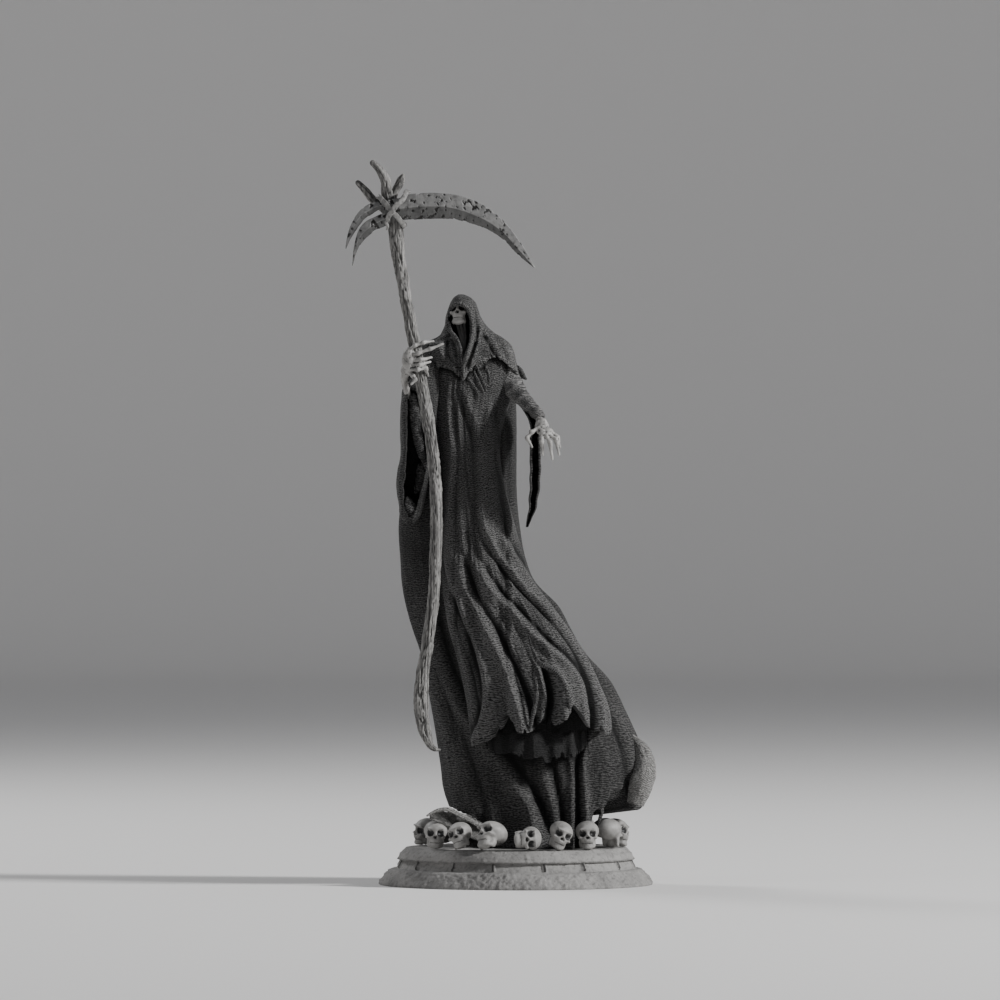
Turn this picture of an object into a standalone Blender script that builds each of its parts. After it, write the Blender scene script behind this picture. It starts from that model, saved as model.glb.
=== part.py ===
"""Grim reaper figurine: a hooded, draped figure with a scythe on a round stone plinth.

Sizes are in millimetres and become metres when a piece is made. The plinth stands on
z = 0 with its centre at x = y = 0, and the figure looks towards -y.
"""

import math

import bmesh
import bpy
import numpy as np
from mathutils import Matrix

MM = 0.001

# Clearance between pieces that touch or rest on one another
CLEARANCE = 0.3

# Plinth, a turned profile of radius and height from the underside up
PLINTH_PROFILE = (
    (56.6, 0.0),
    (56.6, 1.2),
    (53.2, 4.4),
    (50.6, 6.4),
    (48.0, 10.9),
    (48.6, 11.4),
    (48.0, 13.2),
    (45.4, 15.4),
)
PLINTH_TOP = 15.4
PLINTH_SIDES = 40
BLOCK_COUNT = 20
JOINT_WIDTH = 0.9
JOINT_DEPTH = 0.8

# Ring of small skulls: angle round the plinth from the front and distance from its
# middle, then the turn to the side, the nod and the tilt of the head in degrees, and a
# share of the full size
SKULL_HEIGHT = 11.6
SKULL_BROADER = 1.12
SKULL_LONGER = 1.06
SKULL_FACES = 180
SKULLS = (
    (-114.0, 41.0, -60.0, 0.0, 8.0, 0.96),
    (-54.0, 41.0, 0.0, 0.0, 2.0, 1.0),
    (-34.0, 41.0, -24.0, -8.0, -20.0, 1.0),
    (-14.6, 40.6, -48.0, -24.0, -14.0, 1.14),
    (6.4, 41.5, 8.0, 0.0, 86.0, 1.02),
    (26.2, 41.0, 14.0, 6.0, 24.0, 1.0),
    (45.6, 41.0, 2.0, 0.0, 0.0, 1.0),
    (69.0, 41.5, 158.0, 0.0, 0.0, 1.04),
    (90.5, 41.5, 70.0, 0.0, 8.0, 1.0),
    (113.0, 41.0, 130.0, -6.0, 0.0, 1.0),
    (135.0, 41.0, 160.0, 0.0, 10.0, 0.97),
    (156.5, 41.0, 185.0, 0.0, -12.0, 1.0),
    (179.0, 41.0, 172.0, -5.0, 4.0, 1.04),
    (201.5, 41.0, 205.0, 0.0, 12.0, 0.98),
    (223.5, 41.0, 215.0, 0.0, 0.0, 1.0),
)

# Station tables: height, left edge, right edge, front, back
CLOAK = (
    (224.1, -32.8, -5.0, -6.0, 9.0),
    (220.8, -39.4, -2.9, -6.2, 11.0),
    (217.5, -44.0, -1.2, -6.5, 12.0),
    (212.5, -45.9, -0.8, -6.0, 12.5),
    (207.5, -46.5, -0.4, -5.5, 13.0),
    (200.9, -46.1, 0.0, -4.0, 14.0),
    (180.1, -45.6, 0.2, -1.0, 15.0),
    (163.5, -47.3, 0.2, 0.0, 16.0),
    (148.2, -48.8, 1.5, 0.5, 17.0),
    (134.5, -48.1, 4.1, 0.5, 18.0),
    (125.3, -47.6, 7.9, 0.5, 19.0),
    (115.4, -45.9, 17.4, 0.0, 20.0),
    (105.8, -43.2, 22.6, 0.0, 21.0),
    (96.3, -40.0, 28.2, -1.0, 22.0),
    (84.2, -37.4, 39.0, -3.0, 24.0),
    (71.8, -35.1, 45.4, -6.0, 26.0),
    (59.8, -33.2, 51.0, -10.0, 27.5),
    (49.4, -31.7, 55.6, -13.5, 28.0),
    (39.0, -30.3, 55.6, -16.5, 27.0),
    (30.7, -27.4, 52.7, -18.0, 24.5),
    (15.8, -19.9, 48.1, -19.5, 18.0),
)
CLOAK_HEM = (
    (-33.2, 34.9),
    (-28.6, 32.8),
    (-22.4, 30.3),
    (-17.4, 27.4),
    (-13.3, 15.7),
    (27.4, 15.7),
    (29.9, 20.3),
    (31.5, 28.6),
    (34.0, 32.0),
    (36.5, 32.4),
    (39.0, 38.2),
    (42.3, 40.3),
    (44.4, 39.0),
    (46.5, 33.6),
    (51.5, 32.0),
    (56.4, 39.0),
)
ROBE = (
    (223.7, -29.5, -4.6, -9.0, 8.0),
    (217.5, -33.2, -2.1, -11.0, 9.0),
    (209.2, -35.3, -0.8, -12.5, 9.5),
    (200.9, -35.5, -2.1, -12.5, 9.5),
    (188.4, -34.0, -5.8, -12.0, 9.0),
    (178.0, -31.3, -6.6, -12.0, 8.5),
    (164.3, -30.1, -4.6, -12.5, 8.5),
    (151.1, -29.9, -1.2, -13.5, 8.5),
    (140.7, -30.3, 1.9, -14.5, 9.0),
    (127.0, -30.7, 6.6, -16.5, 9.5),
    (113.3, -29.0, 16.6, -19.0, 10.0),
    (99.6, -25.9, 25.3, -22.5, 11.0),
    (86.7, -22.4, 32.4, -26.5, 12.5),
    (74.3, -20.1, 37.8, -30.0, 13.5),
    (57.7, -18.5, 39.8, -32.5, 14.0),
)
ROBE_HEM = (
    (-19.9, 58.5),
    (-17.4, 58.1),
    (-11.6, 60.2),
    (-7.5, 63.5),
    (-2.9, 71.0),
    (-0.4, 65.6),
    (3.3, 63.3),
    (6.2, 63.9),
    (10.0, 67.6),
    (13.7, 66.4),
    (18.3, 68.1),
    (22.8, 72.6),
    (27.8, 67.2),
    (34.0, 63.9),
    (37.8, 62.7),
    (40.3, 67.2),
)
UNDERSKIRT = (
    (76.4, -14.1, 28.2, -17.0, 11.0),
    (68.9, -13.3, 29.0, -20.0, 11.2),
    (61.4, -12.9, 29.5, -25.5, 11.5),
    (50.6, -12.0, 29.5, -28.5, 11.5),
)
UNDERSKIRT_HEM = (
    (-12.0, 57.3),
    (-7.5, 54.8),
    (-1.7, 55.2),
    (3.7, 52.7),
    (7.9, 53.1),
    (13.3, 51.3),
    (18.3, 53.5),
    (23.2, 53.1),
    (29.9, 58.1),
)
MANTLE = (
    (233.2, -26.6, -14.9, -5.0, 8.0),
    (229.5, -29.9, -10.4, -8.5, 10.0),
    (226.6, -33.4, -5.4, -11.0, 11.0),
    (224.1, -39.4, -2.5, -12.5, 12.0),
    (221.2, -39.8, -1.0, -13.5, 12.5),
    (216.6, -36.9, 0.0, -14.3, 13.5),
    (212.5, -36.1, 1.5, -14.8, 14.5),
    (208.3, -35.7, 3.3, -15.2, 15.5),
)
MANTLE_HEM = (
    (-39.8, 219.9),
    (-35.3, 217.5),
    (-32.4, 214.8),
    (-27.0, 213.5),
    (-23.7, 210.4),
    (-21.7, 208.7),
    (-19.5, 212.1),
    (-16.2, 213.1),
    (-13.3, 215.0),
    (-11.6, 217.5),
    (-7.9, 218.1),
    (-4.1, 215.8),
    (0.0, 211.6),
    (3.3, 209.2),
)
HOOD = (
    (244.7, -23.9, -21.6, -3.0, 2.0),
    (243.8, -25.3, -19.5, -6.5, 4.5),
    (241.9, -26.8, -17.2, -9.0, 7.0),
    (239.0, -28.0, -15.8, -10.3, 8.5),
    (235.3, -29.0, -14.5, -10.3, 9.3),
    (231.6, -29.7, -12.0, -10.0, 10.0),
    (227.4, -31.5, -7.5, -10.0, 10.5),
    (221.6, -32.4, -5.0, -10.0, 10.5),
)

# Face opening of the hood: height, left rim, right rim, and how far back its floor is
OPENING = (
    (240.7, -25.3, -22.8, -9.5),
    (239.7, -27.0, -21.0, -3.5),
    (237.4, -27.8, -19.5, 0.5),
    (234.5, -28.2, -18.9, 1.0),
    (231.6, -28.0, -18.6, 0.5),
    (229.1, -27.0, -18.6, -1.0),
    (226.6, -25.3, -18.7, -2.2),
    (223.7, -24.3, -19.1, -3.0),
    (219.9, -23.4, -19.9, -5.0),
    (215.8, -22.6, -20.8, -8.5),
    (211.6, -22.0, -21.4, -14.5),
)

# Ridges of the folds: points of height and x, then height and width of the ridge at
# its top and at its foot, and the side of the valley beside it
ROBE_FOLDS = (
    (((205.8, -29.0), (192.6, -27.4), (178.0, -26.4), (159.4, -27.4)), 1.0, 1.2, 1.6, 1.5, 1),
    (((207.5, -24.9), (190.9, -24.1), (175.1, -23.7), (159.4, -22.0)), 0.8, 0.5, 1.5, 1.8, 1),
    (((206.7, -21.6), (196.7, -18.7), (187.6, -15.4), (179.3, -13.7)), 1.2, 0.7, 1.7, 2.4, -1),
    (((204.2, -12.4), (192.6, -11.2), (180.1, -10.0), (168.5, -10.0)), 0.9, 0.6, 1.9, 2.4, 1),
    (((184.3, -8.1), (173.9, -6.2), (163.5, -3.3), (153.1, -1.7)), 0.9, 0.8, 1.2, 1.5, -1),
    (
        ((147.7, -28.6), (136.9, -28.4), (123.7, -25.3), (109.6, -19.5), (97.1, -14.9),
         (85.5, -11.6), (74.3, -11.0), (60.6, -15.8)),
        0.9, 3.0, 1.5, 2.6, -1,
    ),
    (
        ((126.2, -30.7), (117.9, -29.7), (102.9, -25.1), (89.6, -20.8), (76.4, -18.3),
         (60.6, -17.4)),
        0.6, 1.6, 1.0, 1.6, 1,
    ),
    (
        ((151.1, -27.0), (139.9, -25.7), (122.0, -20.3), (109.6, -13.9), (97.1, -7.5),
         (85.5, -2.7), (76.4, 0.4), (64.7, 3.3)),
        0.9, 4.2, 1.8, 3.3, 1,
    ),
    (
        ((146.9, -22.8), (135.3, -18.3), (122.0, -10.0), (112.5, -0.8), (102.1, 8.7),
         (94.2, 17.8), (86.3, 23.7), (71.4, 27.0)),
        0.9, 3.4, 2.2, 3.2, 1,
    ),
    (
        ((166.0, -14.9), (154.4, -14.1), (142.8, -10.8), (129.5, -1.9), (117.0, 9.5),
         (109.6, 16.8), (100.0, 24.5), (88.4, 30.9), (77.2, 34.4), (63.9, 34.9)),
        1.2, 3.4, 1.7, 1.8, -1,
    ),
    (
        ((163.5, -10.0), (142.8, -5.4), (129.5, 3.3), (117.9, 12.0), (106.7, 21.2),
         (95.0, 28.6), (85.5, 34.4), (75.9, 38.2), (63.9, 39.0)),
        1.3, 2.2, 2.2, 1.6, 1,
    ),
    (((96.3, 7.1), (88.0, 9.5), (78.8, 11.6), (67.2, 10.4)), 2.0, 3.0, 1.4, 1.6, 1),
    (
        ((94.6, 10.4), (89.6, 15.8), (83.8, 18.3), (77.2, 19.7), (68.9, 19.1)),
        2.5, 5.2, 2.2, 4.2, -1,
    ),
)
CLOAK_FOLDS = (
    (
        ((142.8, -37.8), (101.3, -34.9), (76.4, -25.3), (52.7, -7.9), (41.9, -0.8),
         (31.5, 5.4), (18.3, 9.1)),
        0.4, 3.6, 3.0, 4.2, 1,
    ),
    (
        ((76.4, 1.7), (59.8, 8.3), (49.4, 11.2), (39.0, 13.7), (28.6, 15.4),
         (18.3, 15.4)),
        0.9, 3.0, 2.0, 2.6, 1,
    ),
    (((63.9, 21.2), (47.3, 22.8), (18.3, 22.8)), 0.8, 1.8, 1.3, 1.4, 1),
    (
        ((70.1, 32.4), (61.8, 30.3), (54.4, 28.2), (39.0, 28.2), (18.3, 29.0)),
        1.5, 3.4, 1.2, 1.6, -1,
    ),
    (((97.1, 18.3), (76.4, 37.8), (59.8, 46.5), (34.9, 51.5)), 0.5, 1.8, 2.0, 3.0, -1),
    (((101.3, -40.7), (76.4, -33.2), (51.5, -24.1), (34.9, -19.1)), 0.5, 1.6, 2.6, 4.0, 1),
)
MANTLE_FOLDS = (
    (
        ((239.0, -16.6), (234.9, -15.6), (229.5, -15.2), (223.7, -16.2), (218.3, -17.8),
         (211.6, -20.3)),
        0.9, 1.1, 0.9, 1.0, -1,
    ),
    (
        ((231.6, -13.3), (226.6, -10.4), (220.8, -7.1), (215.0, -3.7), (210.0, -1.7)),
        0.8, 1.3, 1.3, 1.8, -1,
    ),
    (((227.4, -6.6), (221.6, -2.9), (215.8, -0.8)), 0.6, 1.0, 1.2, 1.6, -1),
    (((229.9, -28.6), (223.7, -31.1), (216.6, -31.5)), 0.5, 0.9, 1.4, 1.8, 1),
    (((221.6, -31.5), (217.5, -28.6), (213.3, -25.3)), 0.5, 0.9, 1.2, 1.6, 1),
)
RIM_FOLDS = (
    (
        ((242.4, -20.8), (239.9, -18.9), (234.9, -17.7), (229.9, -17.3), (224.5, -17.9),
         (219.1, -19.7), (214.1, -21.2), (209.2, -21.8)),
        1.2, 1.5, 0.85, 0.95, 1,
    ),
    (
        ((240.7, -27.0), (235.7, -28.6), (230.7, -28.0), (227.4, -26.1), (223.3, -24.3),
         (215.0, -23.0)),
        0.7, 0.9, 0.7, 0.8, -1,
    ),
)

# Arm on the viewer's right, under cloth: x, y, z and radius
ARM_PATH = (
    (-9.1, 2.0, 221.6),
    (-5.4, 0.0, 215.0),
    (-1.2, -6.0, 206.7),
    (3.7, -14.0, 200.4),
    (10.2, -23.5, 193.4),
)
ARM_RADII = (3.0, 5.2, 4.8, 3.2, 2.3)

# Sleeves, each a body with a hollow mouth
LEFT_SLEEVE = (
    (216.6, -38.2, -31.5, -10.0, 4.0),
    (210.8, -42.3, -31.5, -13.0, 4.0),
    (205.8, -46.7, -31.5, -15.5, 4.0),
    (200.9, -47.5, -32.0, -16.5, 4.0),
    (188.4, -48.0, -33.2, -17.5, 4.0),
    (177.2, -47.9, -34.9, -18.0, 4.0),
    (171.4, -49.0, -35.7, -18.0, 4.0),
    (163.5, -49.4, -36.9, -17.5, 4.0),
    (156.9, -48.3, -38.2, -17.0, 4.0),
    (152.3, -47.7, -39.8, -16.0, 3.0),
    (149.8, -45.6, -41.9, -14.0, 1.0),
)
LEFT_MOUTH = (
    (205.8, -45.0, -44.4, -12.0),
    (202.5, -45.2, -38.2, -7.0),
    (188.4, -44.8, -35.7, -5.0),
    (171.8, -45.9, -37.4, -5.0),
    (161.4, -46.5, -39.8, -6.5),
    (154.4, -45.6, -41.9, -9.0),
    (152.3, -44.4, -43.6, -14.0),
)
LEFT_FLAP = ((-42.7, -13.0, 202.5), (-41.5, -13.0, 192.6), (-39.8, -13.0, 181.8), (-37.1, -14.0, 172.6))
LEFT_FLAP_RADII = (1.6, 2.4, 2.0, 0.7)
LOWER_FLAP = ((-39.4, -9.5, 173.5), (-39.2, -9.5, 167.7), (-41.5, -10.0, 162.7))
LOWER_FLAP_RADII = (1.6, 2.6, 0.9)
LOBE = ((-44.8, -12.5, 159.4), (-44.0, -13.0, 155.2), (-43.8, -12.5, 151.9))
LOBE_RADII = (2.0, 3.4, 1.6)
RIGHT_SLEEVE = (
    (199.2, 2.5, -12.0, -2.0, 1.2),
    (192.6, 7.1, -23.0, 0.0, 1.7),
    (183.8, 8.1, -23.5, -1.0, 2.1),
    (171.8, 8.0, -22.0, -4.0, 2.2),
    (161.4, 7.5, -20.0, -7.5, 1.9),
    (153.1, 6.0, -17.0, -10.5, 1.2),
    (148.2, 4.6, -14.0, -12.5, 0.5),
)

# Turned corners of the cloak: middle line of each sheet and its half width
LEFT_CORNER = (
    (-5.0, -11.0, 19.9),
    (-11.6, -16.0, 21.6),
    (-17.4, -19.5, 23.7),
    (-22.8, -22.0, 26.1),
    (-27.4, -25.0, 27.8),
    (-31.5, -27.0, 28.8),
    (-35.3, -28.5, 29.0),
)
LEFT_CORNER_HALF = (1.5, 2.8, 4.2, 4.0, 3.0, 2.4, 1.0)
LEFT_RIM = (
    (-36.7, -29.5, 29.5),
    (-32.8, -28.5, 31.5),
    (-28.0, -27.5, 32.0),
    (-23.7, -25.5, 29.9),
    (-19.1, -22.5, 27.4),
    (-14.5, -18.5, 24.7),
    (-10.0, -13.5, 22.4),
)
LEFT_RIM_RADII = (0.5, 1.0, 1.3, 1.5, 1.5, 1.4, 1.2)
RIGHT_CORNER = (
    (47.3, 4.0, 61.4),
    (51.9, -1.0, 55.6),
    (53.5, -7.0, 48.1),
    (51.5, -11.0, 40.7),
    (49.4, -11.0, 33.6),
)
RIGHT_CORNER_HALF = (1.4, 3.4, 4.6, 4.8, 3.6)

# Face skull
FACE_CENTRE = (-23.3, -4.0, 237.3)
FACE_HEIGHT = 12.2
FACE_TURN = (-14.0, -14.0, -4.0)
FACE_SHARE = (0.92, 0.84, 0.98)
FACE_CROWN = 0.36
NECK_STRANDS = (
    ((-24.5, -1.2, 234.9), (-24.3, -2.6, 232.0), (-23.0, -5.0, 227.0), (-21.8, -8.4, 221.6)),
    ((-22.8, -1.2, 234.9), (-22.8, -3.0, 232.0), (-22.0, -5.4, 227.0), (-21.6, -8.6, 221.6)),
    ((-21.6, -1.2, 234.9), (-21.4, -2.4, 232.0), (-21.0, -4.8, 227.0), (-21.4, -8.4, 221.6)),
)
NECK_RADIUS = 0.62

# Scythe shaft: middle line with radii, and the branch stubs at its top
SHAFT = (
    ((-52.9, -19.0, 284.7), 2.3),
    ((-51.3, -19.0, 280.5), 2.9),
    ((-50.0, -19.1, 274.7), 3.2),
    ((-49.4, -19.3, 268.5), 3.0),
    ((-48.2, -19.7, 258.1), 2.65),
    ((-46.4, -20.1, 247.8), 2.5),
    ((-43.0, -21.0, 229.5), 2.55),
    ((-40.7, -21.6, 217.5), 2.5),
    ((-38.2, -22.2, 202.9), 2.45),
    ((-35.6, -23.0, 188.4), 2.45),
    ((-33.4, -23.8, 169.7), 2.5),
    ((-32.8, -24.6, 151.1), 2.5),
    ((-33.2, -25.4, 134.5), 2.45),
    ((-34.1, -26.2, 117.9), 2.4),
    ((-36.3, -27.0, 101.3), 2.45),
    ((-38.4, -27.6, 88.0), 2.65),
    ((-39.2, -28.2, 75.5), 3.05),
    ((-37.9, -28.6, 65.6), 2.6),
    ((-35.9, -28.8, 59.8), 1.8),
    ((-33.8, -28.9, 57.1), 1.1),
    ((-31.3, -28.8, 56.6), 0.5),
)
STUBS = (
    (((-51.9, -18.6, 278.1), 2.1), ((-55.2, -17.8, 280.5), 1.9), ((-58.9, -17.2, 283.2), 1.7),
     ((-62.2, -17.2, 287.2), 1.5), ((-65.4, -17.4, 290.5), 1.1)),
    (((-51.9, -19.0, 281.0), 2.5), ((-53.3, -19.6, 286.8), 2.3), ((-54.0, -20.2, 291.7), 2.1),
     ((-56.4, -20.8, 295.9), 1.7), ((-59.3, -21.2, 298.6), 1.15)),
    (((-51.5, -18.6, 282.2), 1.8), ((-50.2, -17.8, 286.3), 1.5), ((-48.3, -17.4, 289.7), 1.9),
     ((-47.3, -17.2, 291.7), 1.7), ((-46.7, -17.2, 293.2), 1.1)),
)

# Blades: stations of x and height for the back, the bevel line and the edge
BLADE_Y = -24.0
BLADE_THICK = 1.7
MAIN_BLADE = (
    ((-54.8, 282.5), (-54.8, 279.2), (-54.8, 275.9)),
    ((-49.8, 283.7), (-49.8, 279.4), (-49.8, 275.2)),
    ((-44.9, 285.2), (-44.9, 279.9), (-44.9, 274.6)),
    ((-39.8, 285.8), (-39.8, 280.5), (-39.8, 275.1)),
    ((-34.6, 286.0), (-34.6, 280.6), (-34.6, 275.3)),
    ((-29.7, 285.7), (-29.9, 280.5), (-30.3, 275.3)),
    ((-24.9, 285.2), (-25.3, 279.6), (-25.4, 275.1)),
    ((-20.5, 283.9), (-21.0, 278.4), (-21.0, 274.0)),
    ((-16.3, 282.4), (-16.8, 276.8), (-16.7, 272.8)),
    ((-10.2, 278.8), (-10.9, 273.8), (-10.9, 270.5)),
    ((-4.1, 273.3), (-4.8, 269.2), (-4.8, 266.3)),
    ((2.0, 265.4), (1.0, 262.7), (0.8, 260.5)),
    ((7.8, 255.3), (7.6, 255.2), (7.4, 255.1)),
)
REAR_BLADES = (
    (
        ((-51.5, 282.8), (-51.5, 280.3), (-51.5, 278.2)),
        ((-56.4, 282.4), (-56.0, 280.7), (-55.6, 279.3)),
        ((-60.8, 281.3), (-60.0, 279.0), (-59.6, 277.0)),
        ((-65.0, 278.0), (-64.1, 276.3), (-63.1, 274.3)),
        ((-68.1, 272.8), (-67.0, 271.8), (-65.8, 270.7)),
        ((-69.7, 267.4), (-69.1, 267.0), (-68.4, 266.6)),
        ((-70.3, 263.0), (-70.1, 262.9), (-70.0, 262.9)),
    ),
    (
        ((-51.5, 278.6), (-51.5, 276.1), (-51.5, 273.7)),
        ((-54.8, 277.6), (-54.2, 275.1), (-53.5, 272.4)),
        ((-58.1, 276.1), (-57.7, 273.4), (-57.3, 270.7)),
        ((-62.0, 274.1), (-61.0, 271.2), (-60.2, 268.7)),
        ((-65.0, 270.3), (-64.1, 268.0), (-63.3, 265.6)),
        ((-66.8, 263.7), (-66.3, 262.4), (-65.7, 261.6)),
        ((-67.5, 256.1), (-67.4, 256.0), (-67.3, 255.9)),
    ),
)

# Lashing: two flat straps crossed over the tang, each a tilted ring round the shaft
STRAP_WIDTH = 2.1
STRAP_THICK = 1.1
STRAP_ENDS = (
    ((-44.6, 286.8), (-54.2, 273.5)),
    ((-56.9, 284.7), (-45.9, 272.3)),
)
STRAP_FRONT = -26.2
STRAP_BACK = -14.4

# Hand on the shaft: palm, then fingers as paths with radii
LEFT_PALM = (((-44.0, -23.5, 217.0), (3.0, 3.2, 5.4)), ((-45.2, -22.5, 212.9), (2.4, 2.2, 2.6)))
LEFT_FINGERS = (
    ((-43.6, -25.0, 218.7), (-40.3, -26.1, 219.9), (-35.3, -25.6, 221.6), (-30.1, -24.4, 223.7)),
    ((-44.0, -24.4, 220.8), (-41.5, -25.2, 223.1), (-38.2, -25.0, 224.3), (-34.0, -22.6, 224.9)),
    ((-43.6, -25.2, 216.8), (-39.4, -26.3, 217.1), (-34.7, -23.8, 218.2)),
    ((-43.6, -25.2, 215.0), (-39.8, -26.3, 215.0), (-35.3, -23.6, 216.4)),
    ((-44.4, -24.6, 213.3), (-40.5, -26.5, 213.1), (-37.1, -25.2, 213.7), (-36.3, -22.6, 210.6)),
    ((-44.8, -24.2, 212.5), (-42.5, -25.2, 210.6), (-41.5, -26.0, 209.0), (-43.2, -26.6, 206.9)),
)
LEFT_WRIST = (
    (-44.8, -22.5, 213.3),
    (-46.1, -19.8, 209.6),
    (-45.5, -15.2, 205.8),
    (-44.4, -10.5, 202.1),
)
WRIST_RADII = (2.0, 1.45, 1.35, 1.5)
FINGER_RADIUS = 0.88

# Hanging hand on the viewer's right
RIGHT_PALM = (((10.6, -26.4, 189.7), (2.9, 1.7, 3.6)), ((12.4, -27.2, 187.0), (2.9, 1.5, 2.6)))
RIGHT_FINGERS = (
    ((9.3, -27.0, 189.2), (6.4, -28.4, 187.4), (4.6, -29.0, 184.9), (6.6, -29.2, 181.1)),
    ((10.6, -28.2, 186.8), (10.6, -29.2, 183.4), (11.0, -28.4, 177.8)),
    ((12.4, -28.2, 186.1), (13.9, -29.4, 183.0), (14.9, -28.6, 176.1)),
    ((13.7, -27.6, 186.5), (16.4, -28.4, 184.1), (17.8, -27.6, 177.9)),
    ((14.3, -27.0, 187.6), (17.0, -27.2, 185.3), (18.1, -26.0, 180.9)),
)
RIGHT_WRIST = ((10.6, -25.6, 190.7), (9.5, -24.0, 192.8), (8.4, -21.8, 194.6))
RIGHT_WRIST_RADII = (1.9, 1.5, 1.35)

CLOTH = (0.035, 0.035, 0.037, 1.0)
BONE = (0.42, 0.41, 0.40, 1.0)
STONE = (0.44, 0.43, 0.42, 1.0)
WOOD = (0.40, 0.39, 0.38, 1.0)
STEEL = (0.22, 0.22, 0.22, 1.0)


def smooth_step(value):
    """0 below 0, 1 above 1 and a soft rise between."""
    share = np.clip(value, 0.0, 1.0)
    return share * share * (3.0 - 2.0 * share)


def along(table, where):
    """The columns of a table read smoothly at the places given in its first column."""
    rows = np.array(sorted(table), float)
    keys, values = rows[:, 0], rows[:, 1:]
    slopes = np.gradient(values, keys, axis=0)
    where = np.clip(where, keys[0], keys[-1])
    low = np.clip(np.searchsorted(keys, where, side="right") - 1, 0, len(keys) - 2)
    span = (keys[low + 1] - keys[low])[..., None]
    share = (where[..., None] - keys[low][..., None]) / span
    first, second = values[low], values[low + 1]
    rise = slopes[low] * span, slopes[low + 1] * span
    square, cube = share**2, share**3
    read = (2 * cube - 3 * square + 1) * first + (cube - 2 * square + share) * rise[0]
    read += (3 * square - 2 * cube) * second + (cube - square) * rise[1]
    return np.moveaxis(read, -1, 0)


def fold_relief(folds, x, z):
    """How far the ridges and their valleys stand out at x and height z."""
    relief = np.zeros_like(x)
    for path, top_height, foot_height, top_width, foot_width, side in folds:
        heights = [point[0] for point in path]
        drop = (max(heights) - z) / (max(heights) - min(heights))
        share = np.clip(drop, 0.0, 1.0)
        ridge = top_height + (foot_height - top_height) * share
        width = top_width + (foot_width - top_width) * share
        (middle,) = along(path, z)
        off = (x - middle) / width
        shape = np.exp(-off * off) - 0.55 * np.exp(-(((off - 1.75 * side) / 0.85) ** 2))
        relief += ridge * shape * smooth_step(drop / 0.25)
    return relief


def ring_rows(table, theta, z, power):
    """Points of the ring at angle theta and height z, with its outward directions."""
    left, right, front, back = along(table, z)
    cosine, sine = np.cos(theta), np.sin(theta)
    x = (left + right) / 2 + (right - left) / 2 * np.sign(cosine) * np.abs(cosine) ** power
    y = (front + back) / 2 + (back - front) / 2 * np.sign(sine) * np.abs(sine) ** power
    out_x = cosine / np.maximum(right - left, 0.5)
    out_y = sine / np.maximum(back - front, 0.5)
    size = np.hypot(out_x, out_y)
    return x, y, out_x / size, out_y / size


def draped(table, hem, back_hem, folds, pleats, columns, rows, power=0.8, opening=None):
    """A closed cloth form: a ring at each height, folds in front, pleats behind."""
    theta, share = np.meshgrid(
        np.arange(columns) / columns * 2 * math.pi, np.linspace(0.0, 1.0, rows)
    )
    top = max(station[0] for station in table)
    low = min(station[0] for station in table)
    behind = smooth_step(0.5 + np.sin(theta) * 2.2)
    foot = np.full_like(theta, low)
    if hem:
        for _ in range(14):
            (level,) = along(hem, ring_rows(table, theta, foot, power)[0])
            foot = (foot + level) / 2
    if back_hem:
        wave = back_hem[0] + back_hem[1] * np.sin(theta * back_hem[2] + 0.7)
        foot = foot * (1 - behind) + wave * behind
    z = foot + (top - foot) * share
    x, y, out_x, out_y = ring_rows(table, theta, z, power)
    count, depth, twist = pleats
    relief = fold_relief(folds, x, z) * (1 - behind)
    fall = (top - z) / (top - low)
    relief += depth * (0.25 + fall) * behind * np.sin(theta * count + twist * fall)
    facing = 0.25 + 0.75 * np.abs(np.sin(theta))
    x = x + out_x * relief * facing
    y = y + out_y * relief * facing
    if opening:
        rim_left, rim_right, floor = along(opening, z)
        tops = [station[0] for station in opening]
        inside = smooth_step((x - rim_left) / 0.5) * smooth_step((rim_right - x) / 0.5)
        inside *= smooth_step((max(tops) - z) / 0.8) * smooth_step((z - min(tops)) / 0.8)
        inside *= np.sin(theta) < 0
        y = y + inside * np.maximum(floor - y, 0.0)
    return np.stack([x, y, z], axis=-1)


def hollow_hem(points, lip, lift):
    """Adds rows that turn in under the lowest ring, so the hem reads as cloth."""
    ring = points[0]
    middle = ring.mean(axis=0)
    inner = middle + (ring - middle) * (1 - lip)
    inner[:, 2] = ring[:, 2] + lift * 0.3
    deep = middle + (ring - middle) * (1 - 6 * lip)
    deep[:, 2] = ring[:, 2].max() + lift
    return np.concatenate([[deep], [inner], points])


def closed_grid(points):
    """Vertices and faces of rows of rings, with a fan at either end."""
    rows, columns = points.shape[:2]
    verts = [tuple(point) for point in points.reshape(-1, 3)]
    faces = []
    for row in range(rows - 1):
        for column in range(columns):
            following = (column + 1) % columns
            a, b = row * columns + column, row * columns + following
            faces.append((a, b, b + columns, a + columns))
    for row, forward in ((0, False), (rows - 1, True)):
        hub = len(verts)
        verts.append(tuple(points[row].mean(axis=0)))
        for column in range(columns):
            a = row * columns + column
            b = row * columns + (column + 1) % columns
            faces.append((a, b, hub) if forward else (b, a, hub))
    return verts, faces


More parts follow.
